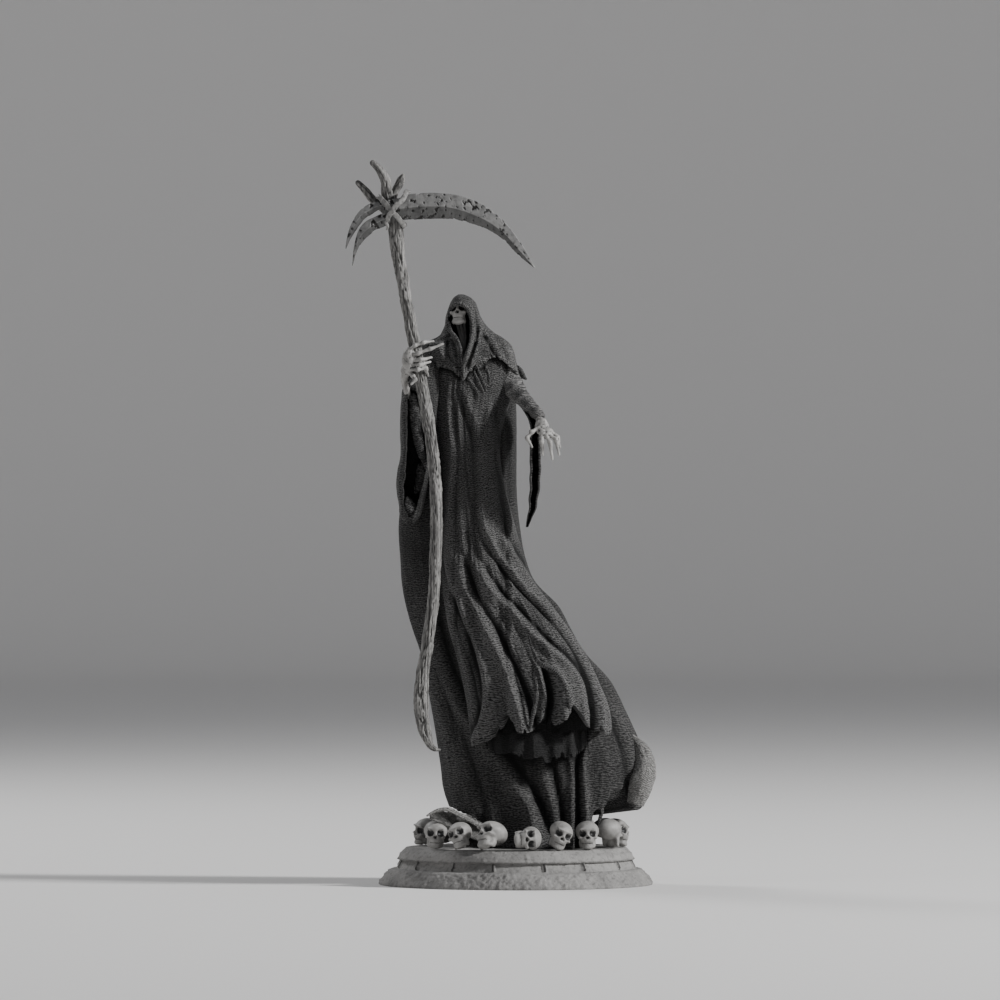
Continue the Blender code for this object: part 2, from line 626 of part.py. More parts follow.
def tube(path, radii, sides=12, steps=6, flat=1.0):
    """A closed tube along a smooth path, its end rings drawn in to round tips."""
    count = (len(path) - 1) * steps + 1
    spread = np.linspace(0, len(path) - 1, count)
    table = [(i, *point, radius) for i, (point, radius) in enumerate(zip(path, radii))]
    x, y, z, radius = along(table, spread)
    line = np.stack([x, y, z], axis=-1)
    tangent = np.gradient(line, axis=0)
    tangent /= np.linalg.norm(tangent, axis=1, keepdims=True)
    across = np.cross(tangent[0], (0.31, 0.95, 0.05))
    rings = []
    for i in range(count):
        across = across - tangent[i] * across.dot(tangent[i])
        across /= np.linalg.norm(across)
        other = np.cross(tangent[i], across)
        turn = np.arange(sides) / sides * 2 * math.pi
        ring = np.outer(np.cos(turn), across) + np.outer(np.sin(turn), other) * flat
        rings.append(line[i] + ring * radius[i])
    ends = []
    for i, way in ((0, -0.7), (-1, 0.7)):
        ends.append(line[i] + (rings[i] - line[i]) * 0.55 + way * tangent[i] * radius[i])
    return closed_grid(np.array([ends[0], *rings, ends[1]]))


def ball(middle, radii, columns=20, rows=11):
    """A closed ellipsoid."""
    rise = np.linspace(-math.pi / 2, math.pi / 2, rows + 2)[1:-1]
    turn, rise = np.meshgrid(np.arange(columns) / columns * 2 * math.pi, rise)
    unit = np.stack([np.cos(rise) * np.cos(turn), np.cos(rise) * np.sin(turn), np.sin(rise)], -1)
    return closed_grid(np.array(middle) + unit * np.array(radii))


def sheet(path, half_widths, arch, thickness, steps=8, across=9):
    """A closed, arched strip of cloth along a path, wide across the line of sight."""
    count = (len(path) - 1) * steps + 1
    spread = np.linspace(0, len(path) - 1, count)
    table = [(i, *point, half) for i, (point, half) in enumerate(zip(path, half_widths))]
    x, y, z, half = along(table, spread)
    line = np.stack([x, y, z], axis=-1)
    tangent = np.gradient(line, axis=0)
    tangent /= np.linalg.norm(tangent, axis=1, keepdims=True)
    side = np.cross(tangent, (0.0, 1.0, 0.0))
    side /= np.linalg.norm(side, axis=1, keepdims=True)
    over = np.cross(side, tangent)
    turn = np.linspace(-1.0, 1.0, across)
    rings = []
    for i in range(count):
        bend = arch * half[i] * (1 - turn**2)
        outer = line[i] + np.outer(turn * half[i], side[i]) + np.outer(bend, over[i])
        inner = outer - over[i] * thickness
        rings.append(np.concatenate([outer, inner[::-1]]))
    return closed_grid(np.array(rings))


def skull_distance(p):
    """Signed distance to a skull of height 1 that looks along -y."""

    def lump(middle, radii):
        scaled = (p - np.array(middle)) / np.array(radii)
        length = np.linalg.norm(scaled, axis=-1)
        return (length - 1.0) * min(radii)

    def join(a, b, soft):
        mix = np.clip(0.5 + 0.5 * (b - a) / soft, 0.0, 1.0)
        return b * (1 - mix) + a * mix - soft * mix * (1 - mix)

    def cut(a, b, soft):
        return -join(-a, b, soft)

    form = lump((0, 0.06, 0.14), (0.37, 0.47, 0.36))
    form = join(form, lump((0, -0.25, -0.10), (0.25, 0.20, 0.29)), 0.10)
    form = join(form, lump((0, -0.24, -0.38), (0.245, 0.18, 0.12)), 0.06)
    form = join(form, lump((0, -0.445, -0.03), (0.035, 0.04, 0.05)), 0.04)
    form = join(form, lump((0, -0.39, -0.44), (0.15, 0.04, 0.05)), 0.05)
    for side in (-1, 1):
        form = join(form, lump((side * 0.26, -0.27, -0.06), (0.08, 0.15, 0.07)), 0.05)
        form = join(form, lump((side * 0.24, -0.10, -0.28), (0.06, 0.13, 0.16)), 0.06)
        form = join(form, lump((side * 0.16, -0.40, 0.17), (0.15, 0.07, 0.05)), 0.05)
    for side in (-1, 1):
        form = cut(form, lump((side * 0.172, -0.47, 0.055), (0.118, 0.20, 0.108)), 0.02)
        form = cut(form, lump((side * 0.31, -0.28, -0.21), (0.07, 0.13, 0.07)), 0.04)
        form = cut(form, lump((side * 0.42, -0.22, 0.16), (0.08, 0.16, 0.12)), 0.08)
        form = cut(form, lump((side * 0.03, -0.50, -0.105), (0.042, 0.15, 0.055)), 0.012)
    form = cut(form, lump((0, -0.50, -0.055), (0.03, 0.15, 0.06)), 0.012)
    return cut(form, lump((0, -0.50, -0.275), (0.18, 0.10, 0.012)), 0.014)


def skull_form(subdivisions):
    """Vertices and faces of a skull of height 1, drawn from rays out of its middle."""
    bm = bmesh.new()
    bmesh.ops.create_icosphere(bm, subdivisions=subdivisions, radius=1.0)
    rays = np.array([vert.co for vert in bm.verts])
    faces = [tuple(vert.index for vert in face.verts) for face in bm.faces]
    bm.free()
    origin = np.array((0.0, -0.08, -0.02))
    reach = np.full(len(rays), 0.9)
    for _ in range(60):
        reach -= 0.6 * skull_distance(origin + rays * reach[:, None])
        reach = np.clip(reach, 0.05, 0.95)
    return origin + rays * reach[:, None], faces


def crown_drawn_in(points, share):
    """Points of a skull with the crown and back made narrower, to sit inside a hood."""
    crown = np.clip((points[:, 2] - 0.08) / 0.25, 0.0, 1.0)
    back = np.clip((points[:, 1] + 0.2) / 0.3, 0.0, 1.0)
    narrow = 1.0 - share * np.maximum(crown, back)
    deep = 1.0 - 0.5 * (1.0 - narrow) * (points[:, 1] > 0)
    return points * np.stack([narrow, deep, np.ones_like(narrow)], axis=-1)


def turned(points, turn):
    """Points turned by a turn to the side, a nod and a tilt in degrees."""
    side, nod, tilt = (math.radians(angle) for angle in turn)
    matrix = Matrix.Rotation(side, 3, "Z") @ Matrix.Rotation(nod, 3, "X")
    matrix = matrix @ Matrix.Rotation(tilt, 3, "Y")
    return points @ np.array(matrix).T


def raw_mesh(name, forms):
    """One mesh out of closed forms, its faces turned outward."""
    verts, faces = [], []
    for form_verts, form_faces in forms:
        start = len(verts)
        verts += [tuple(vert) for vert in form_verts]
        faces += [tuple(index + start for index in face) for face in form_faces]
    mesh = bpy.data.meshes.new(name)
    mesh.from_pydata(verts, [], faces)
    bm = bmesh.new()
    bm.from_mesh(mesh)
    bmesh.ops.recalc_face_normals(bm, faces=bm.faces)
    bm.to_mesh(mesh)
    bm.free()
    return mesh


def raw_object(name, forms):
    """A linked object of closed forms in millimetres."""
    obj = bpy.data.objects.new(name, raw_mesh(name, forms))
    bpy.context.scene.collection.objects.link(obj)
    return obj


def shaped(obj, voxel, face_count, cutters, unite=False):
    """The object's mesh after the forms are made one, thinned out and cut."""
    if voxel:
        remesh = obj.modifiers.new("One skin", "REMESH")
        remesh.mode = "VOXEL"
        remesh.voxel_size = voxel
        bpy.context.view_layer.update()
        depsgraph = bpy.context.evaluated_depsgraph_get()
        skin = obj.evaluated_get(depsgraph).data
        skin.calc_loop_triangles()
        thin = obj.modifiers.new("Thin out", "DECIMATE")
        thin.ratio = face_count / len(skin.loop_triangles)
    for cutter in cutters:
        cut = obj.modifiers.new("Clearance", "BOOLEAN")
        cut.operation = "UNION" if unite else "DIFFERENCE"
        cut.solver = "EXACT"
        cut.object = cutter
    bpy.context.view_layer.update()
    depsgraph = bpy.context.evaluated_depsgraph_get()
    mesh = bpy.data.meshes.new_from_object(obj.evaluated_get(depsgraph))
    drop_crumbs(mesh)
    return mesh


def drop_crumbs(mesh):
    """Keeps the largest body of a mesh and leaves out stray slivers beside it."""
    bm = bmesh.new()
    bm.from_mesh(mesh)
    seen, bodies = set(), []
    for vert in bm.verts:
        if vert in seen:
            continue
        seen.add(vert)
        body, waiting = [], [vert]
        while waiting:
            at = waiting.pop()
            body.append(at)
            for edge in at.link_edges:
                other = edge.other_vert(at)
                if other not in seen:
                    seen.add(other)
                    waiting.append(other)
        bodies.append(body)
    bodies.sort(key=len)
    for body in bodies[:-1]:
        bmesh.ops.delete(bm, geom=body, context="VERTS")
    bm.to_mesh(mesh)
    bm.free()


def paint(name, colour, roughness, metallic):
    """A material with a plain surface."""
    material = bpy.data.materials.new(name)
    material.use_nodes = True
    shader = material.node_tree.nodes["Principled BSDF"]
    shader.inputs["Base Color"].default_value = colour
    shader.inputs["Roughness"].default_value = roughness
    shader.inputs["Metallic"].default_value = metallic
    material.diffuse_color = colour
    return material


def finish(name, mesh, material, smooth=False):
    """The finished piece in metres."""
    mesh.name = name
    mesh.transform(Matrix.Scale(MM, 4))
    mesh.materials.clear()
    mesh.materials.append(material)
    mesh.polygons.foreach_set("use_smooth", [smooth] * len(mesh.polygons))
    obj = bpy.data.objects.new(name, mesh)
    bpy.context.scene.collection.objects.link(obj)
    return obj


def discard(objects):
    for obj in objects:
        bpy.data.objects.remove(obj, do_unlink=True)


def plinth_mesh():
    """The turned plinth with upright joints cut into its band of blocks."""
    rings = []
    for radius, height in PLINTH_PROFILE:
        turn = np.arange(PLINTH_SIDES) / PLINTH_SIDES * 2 * math.pi
        level = np.full_like(turn, height)
        rings.append(np.stack([radius * np.cos(turn), radius * np.sin(turn), level], -1))
    verts = [tuple(point) for point in np.array(rings).reshape(-1, 3)]
    faces = []
    for row in range(len(rings) - 1):
        for column in range(PLINTH_SIDES):
            a = row * PLINTH_SIDES + column
            b = row * PLINTH_SIDES + (column + 1) % PLINTH_SIDES
            faces.append((a, b, b + PLINTH_SIDES, a + PLINTH_SIDES))
    faces.append(tuple(range(PLINTH_SIDES))[::-1])
    last = (len(rings) - 1) * PLINTH_SIDES
    faces.append(tuple(range(last, last + PLINTH_SIDES)))
    body = raw_object("plinth body", [(verts, faces)])
    joints = []
    low, high = PLINTH_PROFILE[3], PLINTH_PROFILE[4]
    for block in range(BLOCK_COUNT):
        angle = 2 * math.pi * (block + 0.28 * math.sin(2.3 * block)) / BLOCK_COUNT
        slant = 0.010 * math.sin(1.7 * block)
        outline = []
        for radius, height, shift in ((low[0], low[1] + 0.35, -slant), (high[0], high[1] - 0.3, slant)):
            for depth, half in ((-JOINT_DEPTH, 0.15), (1.5, JOINT_WIDTH)):
                for way in (-1, 1):
                    spin = angle + shift + way * half / radius
                    reach = radius + depth
                    outline.append((reach * math.cos(spin), reach * math.sin(spin), height))
        faces = [(0, 1, 3, 2), (4, 6, 7, 5), (0, 4, 5, 1), (2, 3, 7, 6), (0, 2, 6, 4), (1, 5, 7, 3)]
        joints.append((outline, faces))
    cutter = raw_object("joint cutter", joints)
    mesh = shaped(body, 0, 0, [cutter])
    discard([body, cutter])
    return mesh


def blade_form(stations, plane, thickness, extra=0.0):
    """A blade with a flat back part and a ground edge, closed at both ends."""
    rings = []
    for i, (back, bevel, edge) in enumerate(stations):
        back = (back[0], back[1] + extra)
        edge = (edge[0], edge[1] - extra)
        taper = 1.0 - 0.75 * max(0.0, i / (len(stations) - 1) - 0.5) * 2
        half, thin = thickness / 2 * taper, 0.22 * thickness * taper
        rings.append((
            (back[0], plane - half * 0.8, back[1]),
            (bevel[0], plane - half, bevel[1]),
            (edge[0], plane - thin, edge[1]),
            (edge[0], plane + thin, edge[1]),
            (bevel[0], plane + half, bevel[1]),
            (back[0], plane + half * 0.8, back[1]),
        ))
    return closed_grid(np.array(rings))


def strap_form(ends, segments=16):
    """A flat strap round shaft and tang, in the tilted plane through its two ends."""
    (x1, z1), (x2, z2) = ends
    middle = np.array(((x1 + x2) / 2, (STRAP_FRONT + STRAP_BACK) / 2, (z1 + z2) / 2))
    slope = np.array((x1 - x2, 0.0, z1 - z2))
    half = np.linalg.norm(slope) / 2
    slope /= np.linalg.norm(slope)
    depth = (STRAP_BACK - STRAP_FRONT) / 2
    wide = np.cross(slope, (0.0, 1.0, 0.0))
    rings = []
    for turn in np.arange(segments) / segments * 2 * math.pi:
        out = slope * math.cos(turn) / half + np.array((0, 1.0, 0)) * math.sin(turn) / depth
        out /= np.linalg.norm(out)
        at = middle + slope * math.cos(turn) * half + np.array((0, 1.0, 0)) * math.sin(turn) * depth
        rings.append([
            at + wide * STRAP_WIDTH / 2 * a + out * STRAP_THICK / 2 * b
            for a, b in ((-1, -1), (1, -1), (1, 1), (-1, 1))
        ])
    verts = [tuple(point) for ring in rings for point in ring]
    faces = []
    for i in range(segments):
        for k in range(4):
            a, b = i * 4 + k, i * 4 + (k + 1) % 4
            c, d = ((i + 1) % segments) * 4 + (k + 1) % 4, ((i + 1) % segments) * 4 + k
            faces.append((a, b, c, d))
    return verts, faces


def split_path(pairs):
    """Points and radii out of pairs."""
    return [pair[0] for pair in pairs], [pair[1] for pair in pairs]


def shaft_forms(extra=0.0):
    """The shaft and its stubs, each radius larger by the clearance asked for."""
    forms = []
    for line in (SHAFT, *STUBS):
        path, radii = split_path(line)
        forms.append(tube(path, [radius + extra for radius in radii], sides=10, steps=4))
    return forms


def finger_forms(fingers, radius):
    """Fingers with thicker joints and thin bones between."""
    forms = []
    for path in fingers:
        dense, radii = [], []
        for i, (a, b) in enumerate(zip(path, path[1:])):
            dense += [a, tuple((np.array(a) + np.array(b)) / 2)]
            radii += [radius * (1.12 - 0.08 * i), radius * (0.82 - 0.06 * i)]
        forms.append(tube(dense + [path[-1]], radii + [radius * 0.5], sides=10, steps=3))
        for i, point in enumerate(path[:-1]):
            knuckle = radius * (1.28 - 0.1 * i)
            forms.append(ball(point, (knuckle,) * 3, 10, 6))
    return forms


def figure_forms():
    """The closed forms that make up robe, cloak, hood, mantle and sleeves."""
    folds = MANTLE_FOLDS + RIM_FOLDS
    hem, pleats = (64.7, 2.0, 7), (8, 1.4, 1.0)
    robe = draped(ROBE, ROBE_HEM, hem, ROBE_FOLDS, pleats, 260, 150, 0.9, OPENING)
    hem, pleats = (54.8, 1.5, 8), (16, 0.8, 0.5)
    skirt = draped(UNDERSKIRT, UNDERSKIRT_HEM, hem, (), pleats, 160, 30, 0.9)
    theta = np.arange(160) / 160 * 2 * math.pi
    skirt[:, :, 1] += 0.9 * np.sin(theta * 17) * (skirt[:, :, 2] < 63.9)
    pleats = (9, 1.6, 2.0)
    cloak = draped(CLOAK, CLOAK_HEM, (), CLOAK_FOLDS, pleats, 220, 170, 0.82, OPENING)
    cloak[:, :, 2] = np.maximum(cloak[:, :, 2], PLINTH_TOP + CLEARANCE)
    hem, pleats = (210.0, 1.8, 7), (7, 0.6, 0.5)
    mantle = draped(MANTLE, MANTLE_HEM, hem, folds, pleats, 200, 46, 0.9, OPENING)
    hood = draped(HOOD, (), (), folds, (3, 0.3, 0.0), 200, 80, 1.0, OPENING)
    sleeve = draped(LEFT_SLEEVE, (), (), (), (4, 0.3, 0.0), 120, 90, 0.8, LEFT_MOUTH)
    forms = [closed_grid(hollow_hem(robe, 0.07, 2.0)), closed_grid(hollow_hem(skirt, 0.08, 1.5))]
    forms += [closed_grid(hollow_hem(mantle, 0.05, 0.6)), closed_grid(hood), closed_grid(cloak)]
    forms += [closed_grid(sleeve), right_sleeve_form(), tube(ARM_PATH, ARM_RADII, 16, 8)]
    forms.append(tube(LEFT_FLAP, LEFT_FLAP_RADII, 10, 6, 0.6))
    forms.append(tube(LOWER_FLAP, LOWER_FLAP_RADII, 10, 6, 0.5))
    forms.append(tube(LOBE, LOBE_RADII, 12, 6, 0.8))
    forms.append(tube(LEFT_RIM, LEFT_RIM_RADII, 10, 6, 0.7))
    forms.append(sheet(LEFT_CORNER, LEFT_CORNER_HALF, 0.3, 1.5))
    forms.append(sheet(RIGHT_CORNER, RIGHT_CORNER_HALF, -0.5, 2.2))
    return forms


def right_sleeve_form():
    """The sleeve that hangs edge on below the forearm, with a slit for its mouth."""
    z = np.linspace(148.2, 199.2, 60)
    middle, front, back, half = along(RIGHT_SLEEVE, z)
    rings = []
    for level, x, near, far, wide in zip(z, middle, front, back, half):
        deep = min(8.0, (far - near) * 0.55)
        lip = wide * 0.42
        section = (
            (x - wide, near),
            (x - wide + lip, near),
            (x - wide + lip, near + deep),
            (x + wide - lip, near + deep),
            (x + wide - lip, near),
            (x + wide, near),
            (x + wide * 1.05, (near + far) / 2),
            (x + wide * 0.5, far - 0.6),
            (x, far),
            (x - wide * 0.5, far - 0.6),
            (x - wide * 1.05, (near + far) / 2),
        )
        rings.append([(px, py, level) for px, py in section])
    return closed_grid(np.array(rings))


def build():
    cloth = paint("charcoal cloth", CLOTH, 0.85, 0.0)
    bone = paint("pale bone", BONE, 0.6, 0.0)
    stone = paint("pale stone", STONE, 0.8, 0.0)
    wood = paint("weathered wood", WOOD, 0.7, 0.0)
    steel = paint("pitted steel", STEEL, 0.5, 0.3)
    strap = paint("pale strap", WOOD, 0.8, 0.0)

    finish("plinth", plinth_mesh(), stone)

    skull_verts, skull_faces = skull_form(5)
    sizes = np.array((SKULL_BROADER, SKULL_LONGER, 1.0)) * SKULL_HEIGHT
    source = raw_object("skull source", [(skull_verts * sizes, skull_faces)])
    thin = source.modifiers.new("Thin out", "DECIMATE")
    thin.ratio = SKULL_FACES / len(skull_faces)
    bpy.context.view_layer.update()
    depsgraph = bpy.context.evaluated_depsgraph_get()
    small = bpy.data.meshes.new_from_object(source.evaluated_get(depsgraph))
    discard([source])
    corners = np.array([vert.co for vert in small.vertices])
    small.transform(Matrix.Scale(MM, 4))
    small.materials.clear()
    small.materials.append(bone)
    for number, (angle, ring, side, nod, tilt, share) in enumerate(SKULLS, 1):
        turn = math.radians(angle)
        placed = turned(corners * share, (side, nod, tilt))
        level = PLINTH_TOP + CLEARANCE - placed[:, 2].min()
        skull = bpy.data.objects.new(f"skull_{number:02d}", small)
        bpy.context.scene.collection.objects.link(skull)
        spot = (ring * math.sin(turn), -ring * math.cos(turn), level)
        matrix = Matrix.Translation([value * MM for value in spot])
        matrix = matrix @ Matrix.Rotation(math.radians(side), 4, "Z")
        matrix = matrix @ Matrix.Rotation(math.radians(nod), 4, "X")
        matrix = matrix @ Matrix.Rotation(math.radians(tilt), 4, "Y")
        skull.matrix_world = matrix @ Matrix.Scale(share, 4)

    face = skull_form(5)
    sized = crown_drawn_in(face[0], FACE_CROWN) * FACE_HEIGHT * np.array(FACE_SHARE)
    verts = turned(sized, FACE_TURN) + np.array(FACE_CENTRE)
    forms = [(verts, face[1])]
    forms += [tube(path, (NECK_RADIUS,) * 4, 8, 4) for path in NECK_STRANDS]
    source = raw_object("face source", forms)
    finish("face_skull", shaped(source, 0.28, 380, []), bone)
    discard([source])

    room = verts.mean(axis=0) + (verts - verts.mean(axis=0)) * 1.11
    room_forms = [(room, face[1])]
    room_forms += [tube(path, (NECK_RADIUS + 0.5,) * 4, 8, 4) for path in NECK_STRANDS]
    face_room = raw_object("face room", room_forms)
    face_cutter = raw_object("face cutter", [])
    face_cutter.data = shaped(face_room, 0.4, 200, [])
    wrist_cutter = raw_object(
        "wrist cutter",
        [tube(LEFT_WRIST, [radius + 0.45 for radius in WRIST_RADII], 10, 3)],
    )
    cuff_cutter = raw_object(
        "cuff cutter",
        [tube(RIGHT_WRIST, [radius + 0.4 for radius in RIGHT_WRIST_RADII], 10, 3)],
    )
    figure = raw_object("figure forms", figure_forms())
    mesh = shaped(figure, 0.8, 3500, [face_cutter, wrist_cutter, cuff_cutter])
    finish("draped_figure", mesh, cloth)
    discard([figure, face_room, face_cutter, wrist_cutter, cuff_cutter])

    source = raw_object("shaft source", shaft_forms())
    finish("scythe_shaft", shaped(source, 0.45, 580, []), wood)
    discard([source])

    shaft_room = raw_object("shaft room", shaft_forms(CLEARANCE + 0.15))
    shaft_cutter = raw_object("shaft cutter", [])
    shaft_cutter.data = shaped(shaft_room, 0.5, 640, [])

    body = raw_object("main blade form", [blade_form(MAIN_BLADE, BLADE_Y, BLADE_THICK)])
    rear = [
        raw_object("rear blade form", [blade_form(line, BLADE_Y + shift, BLADE_THICK * 0.8)])
        for line, shift in zip(REAR_BLADES, (0.35, -0.25))
    ]
    mesh = shaped(body, 0, 0, rear, unite=True)
    finish("scythe_blades", mesh, steel)
    discard([body, *rear])
    room = BLADE_THICK + 2 * CLEARANCE
    blade_room = [
        raw_object("blade room", [blade_form(MAIN_BLADE, BLADE_Y, room, CLEARANCE)]),
        raw_object("rear room", [blade_form(REAR_BLADES[0], BLADE_Y + 0.35, room, CLEARANCE)]),
        raw_object("lower room", [blade_form(REAR_BLADES[1], BLADE_Y - 0.25, room, CLEARANCE)]),
    ]

    first = raw_object("first strap", [strap_form(STRAP_ENDS[0])])
    second = raw_object("second strap", [strap_form(STRAP_ENDS[1])])
    joined = first.modifiers.new("Crossing", "BOOLEAN")
    joined.operation = "UNION"
    joined.solver = "EXACT"
    joined.object = second
    mesh = shaped(first, 0, 0, [shaft_cutter, *blade_room])
    finish("blade_lashing", mesh, strap)
    discard([first, second, *blade_room])

    forms = [ball(middle, radii) for middle, radii in LEFT_PALM]
    forms += finger_forms(LEFT_FINGERS, FINGER_RADIUS)
    forms.append(tube(LEFT_WRIST, WRIST_RADII, 10, 4))
    source = raw_object("left hand source", forms)
    finish("left_hand", shaped(source, 0.3, 380, [shaft_cutter]), bone)
    discard([source, shaft_room, shaft_cutter])

    forms = [ball(middle, radii) for middle, radii in RIGHT_PALM]
    forms += finger_forms(RIGHT_FINGERS, FINGER_RADIUS)
    forms.append(tube(RIGHT_WRIST, RIGHT_WRIST_RADII, 10, 4))
    source = raw_object("right hand source", forms)
    finish("right_hand", shaped(source, 0.3, 380, []), bone)
    discard([source])


for old in list(bpy.data.objects):
    bpy.data.objects.remove(old, do_unlink=True)
build()
for mesh in [mesh for mesh in bpy.data.meshes if mesh.users == 0]:
    bpy.data.meshes.remove(mesh)
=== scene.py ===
# %% [markdown]
# # A reaper figurine, dressed over its measured solids
#
# The figurine is a resin casting about 30 cm tall: a hooded figure in a torn robe, a
# scythe, and a stone plinth with a ring of skulls. The solids of the part give every
# piece its place. This lesson lays a fine surface over each one, in millimetres, and
# turns it into metres when the piece is made.

# %% Load the measured frame
import math

import bmesh
import bpy
import numpy as np
from mathutils import Matrix, Vector


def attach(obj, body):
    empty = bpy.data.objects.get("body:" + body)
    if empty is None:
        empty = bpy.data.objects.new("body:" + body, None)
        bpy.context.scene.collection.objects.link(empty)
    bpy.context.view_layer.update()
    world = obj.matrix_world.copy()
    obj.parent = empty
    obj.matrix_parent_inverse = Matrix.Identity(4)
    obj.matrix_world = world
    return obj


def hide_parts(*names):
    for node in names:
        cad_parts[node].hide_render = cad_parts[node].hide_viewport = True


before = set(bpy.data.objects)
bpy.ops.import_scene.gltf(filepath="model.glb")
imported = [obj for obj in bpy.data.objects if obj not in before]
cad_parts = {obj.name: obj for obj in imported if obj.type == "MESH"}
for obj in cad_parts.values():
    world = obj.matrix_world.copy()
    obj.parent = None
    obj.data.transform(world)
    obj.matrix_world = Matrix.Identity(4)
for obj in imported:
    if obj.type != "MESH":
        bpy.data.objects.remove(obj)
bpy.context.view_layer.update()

MM = 0.001
CLEARANCE = 0.3
print("solids loaded:", len(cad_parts))

# %% [markdown]
# ## Reading a shape from stations
#
# A sculptor blocks out drapery with a few measured cross sections. Here a table holds
# such stations: a height, then the left and right edge and the front and back of the
# form at that height. A smooth curve through the stations gives every height between.
# Folds are ridges that follow a path down the cloth, each with a valley beside it.


# %% Smooth reading of tables
def ease(value):
    share = np.clip(value, 0.0, 1.0)
    return share * share * (3.0 - 2.0 * share)


def round_turn(count):
    return np.arange(count) / count * 2 * math.pi


def along(table, where):
    rows = np.array(sorted(table), float)
    keys, values = rows[:, 0], rows[:, 1:]
    slopes = np.gradient(values, keys, axis=0)
    where = np.clip(where, keys[0], keys[-1])
    low = np.clip(np.searchsorted(keys, where, side="right") - 1, 0, len(keys) - 2)
    span = (keys[low + 1] - keys[low])[..., None]
    share = (where[..., None] - keys[low][..., None]) / span
    first, second = values[low], values[low + 1]
    rise = slopes[low] * span, slopes[low + 1] * span
    square, cube = share**2, share**3
    read = (2 * cube - 3 * square + 1) * first + (cube - 2 * square + share) * rise[0]
    read += (3 * square - 2 * cube) * second + (cube - square) * rise[1]
    return np.moveaxis(read, -1, 0)


# %% Even, repeatable roughness
def uneven(x, y, z, seed=0):
    """Smooth values between -1 and 1, the same on every run."""
    def corner(i, j, k):
        key = i * 374761393 + j * 668265263 + k * 1274126177 + seed * 144664
        key = (key ^ (key >> 13)) & 0xFFFFFFFF
        key = (key * 1274126177) & 0xFFFFFFFF
        key = key ^ (key >> 16)
        return (key & 0xFFFF) / 32767.5 - 1.0

    cells = [np.floor(value).astype(np.int64) for value in (x, y, z)]
    shares = [ease(value - cell) for value, cell in zip((x, y, z), cells)]
    total = np.zeros(np.broadcast(x, y, z).shape)
    for picks in np.ndindex(2, 2, 2):
        weight = 1.0
        for pick, share in zip(picks, shares):
            weight = weight * (share if pick else 1 - share)
        total = total + weight * corner(*(cell + pick for cell, pick in zip(cells, picks)))
    return total


print("roughness at one point:", float(uneven(*np.array([[1.5], [2.5], [3.5]]))[0]))


# %% Ridges of cloth
def fold_relief(folds, x, z):
    relief = np.zeros_like(x)
    for path, top_height, foot_height, top_width, foot_width, side in folds:
        heights = [point[0] for point in path]
        drop = (max(heights) - z) / (max(heights) - min(heights))
        share = np.clip(drop, 0.0, 1.0)
        ridge = top_height + (foot_height - top_height) * share
        width = top_width + (foot_width - top_width) * share
        (middle,) = along(path, z)
        off = (x - middle) / width
        crest = np.exp(-np.abs(off) ** 1.45)
        crease = np.exp(-(np.abs((off - 1.55 * side) / 0.55) ** 1.6))
        shape = 1.1 * crest - 0.95 * crease
        relief += ridge * shape * ease(drop / 0.25)
    return relief


def ring_rows(table, theta, z, power):
    left, right, front, back = along(table, z)
    cosine, sine = np.cos(theta), np.sin(theta)
    x = (left + right) / 2 + (right - left) / 2 * np.sign(cosine) * np.abs(cosine) ** power
    y = (front + back) / 2 + (back - front) / 2 * np.sign(sine) * np.abs(sine) ** power
    out_x = cosine / np.maximum(right - left, 0.5)
    out_y = sine / np.maximum(back - front, 0.5)
    size = np.hypot(out_x, out_y)
    return x, y, out_x / size, out_y / size


# %% [markdown]
# ## Cloth as rings
#
# Each garment is a stack of closed rings. The lowest ring follows the torn hem, so the
# rings above it are packed between hem and top. Fine wrinkles run along the drape, and
# small notches and nicks wear the hem. The rows that turn in below the hem close the
# form and give the cloth an edge with thickness.


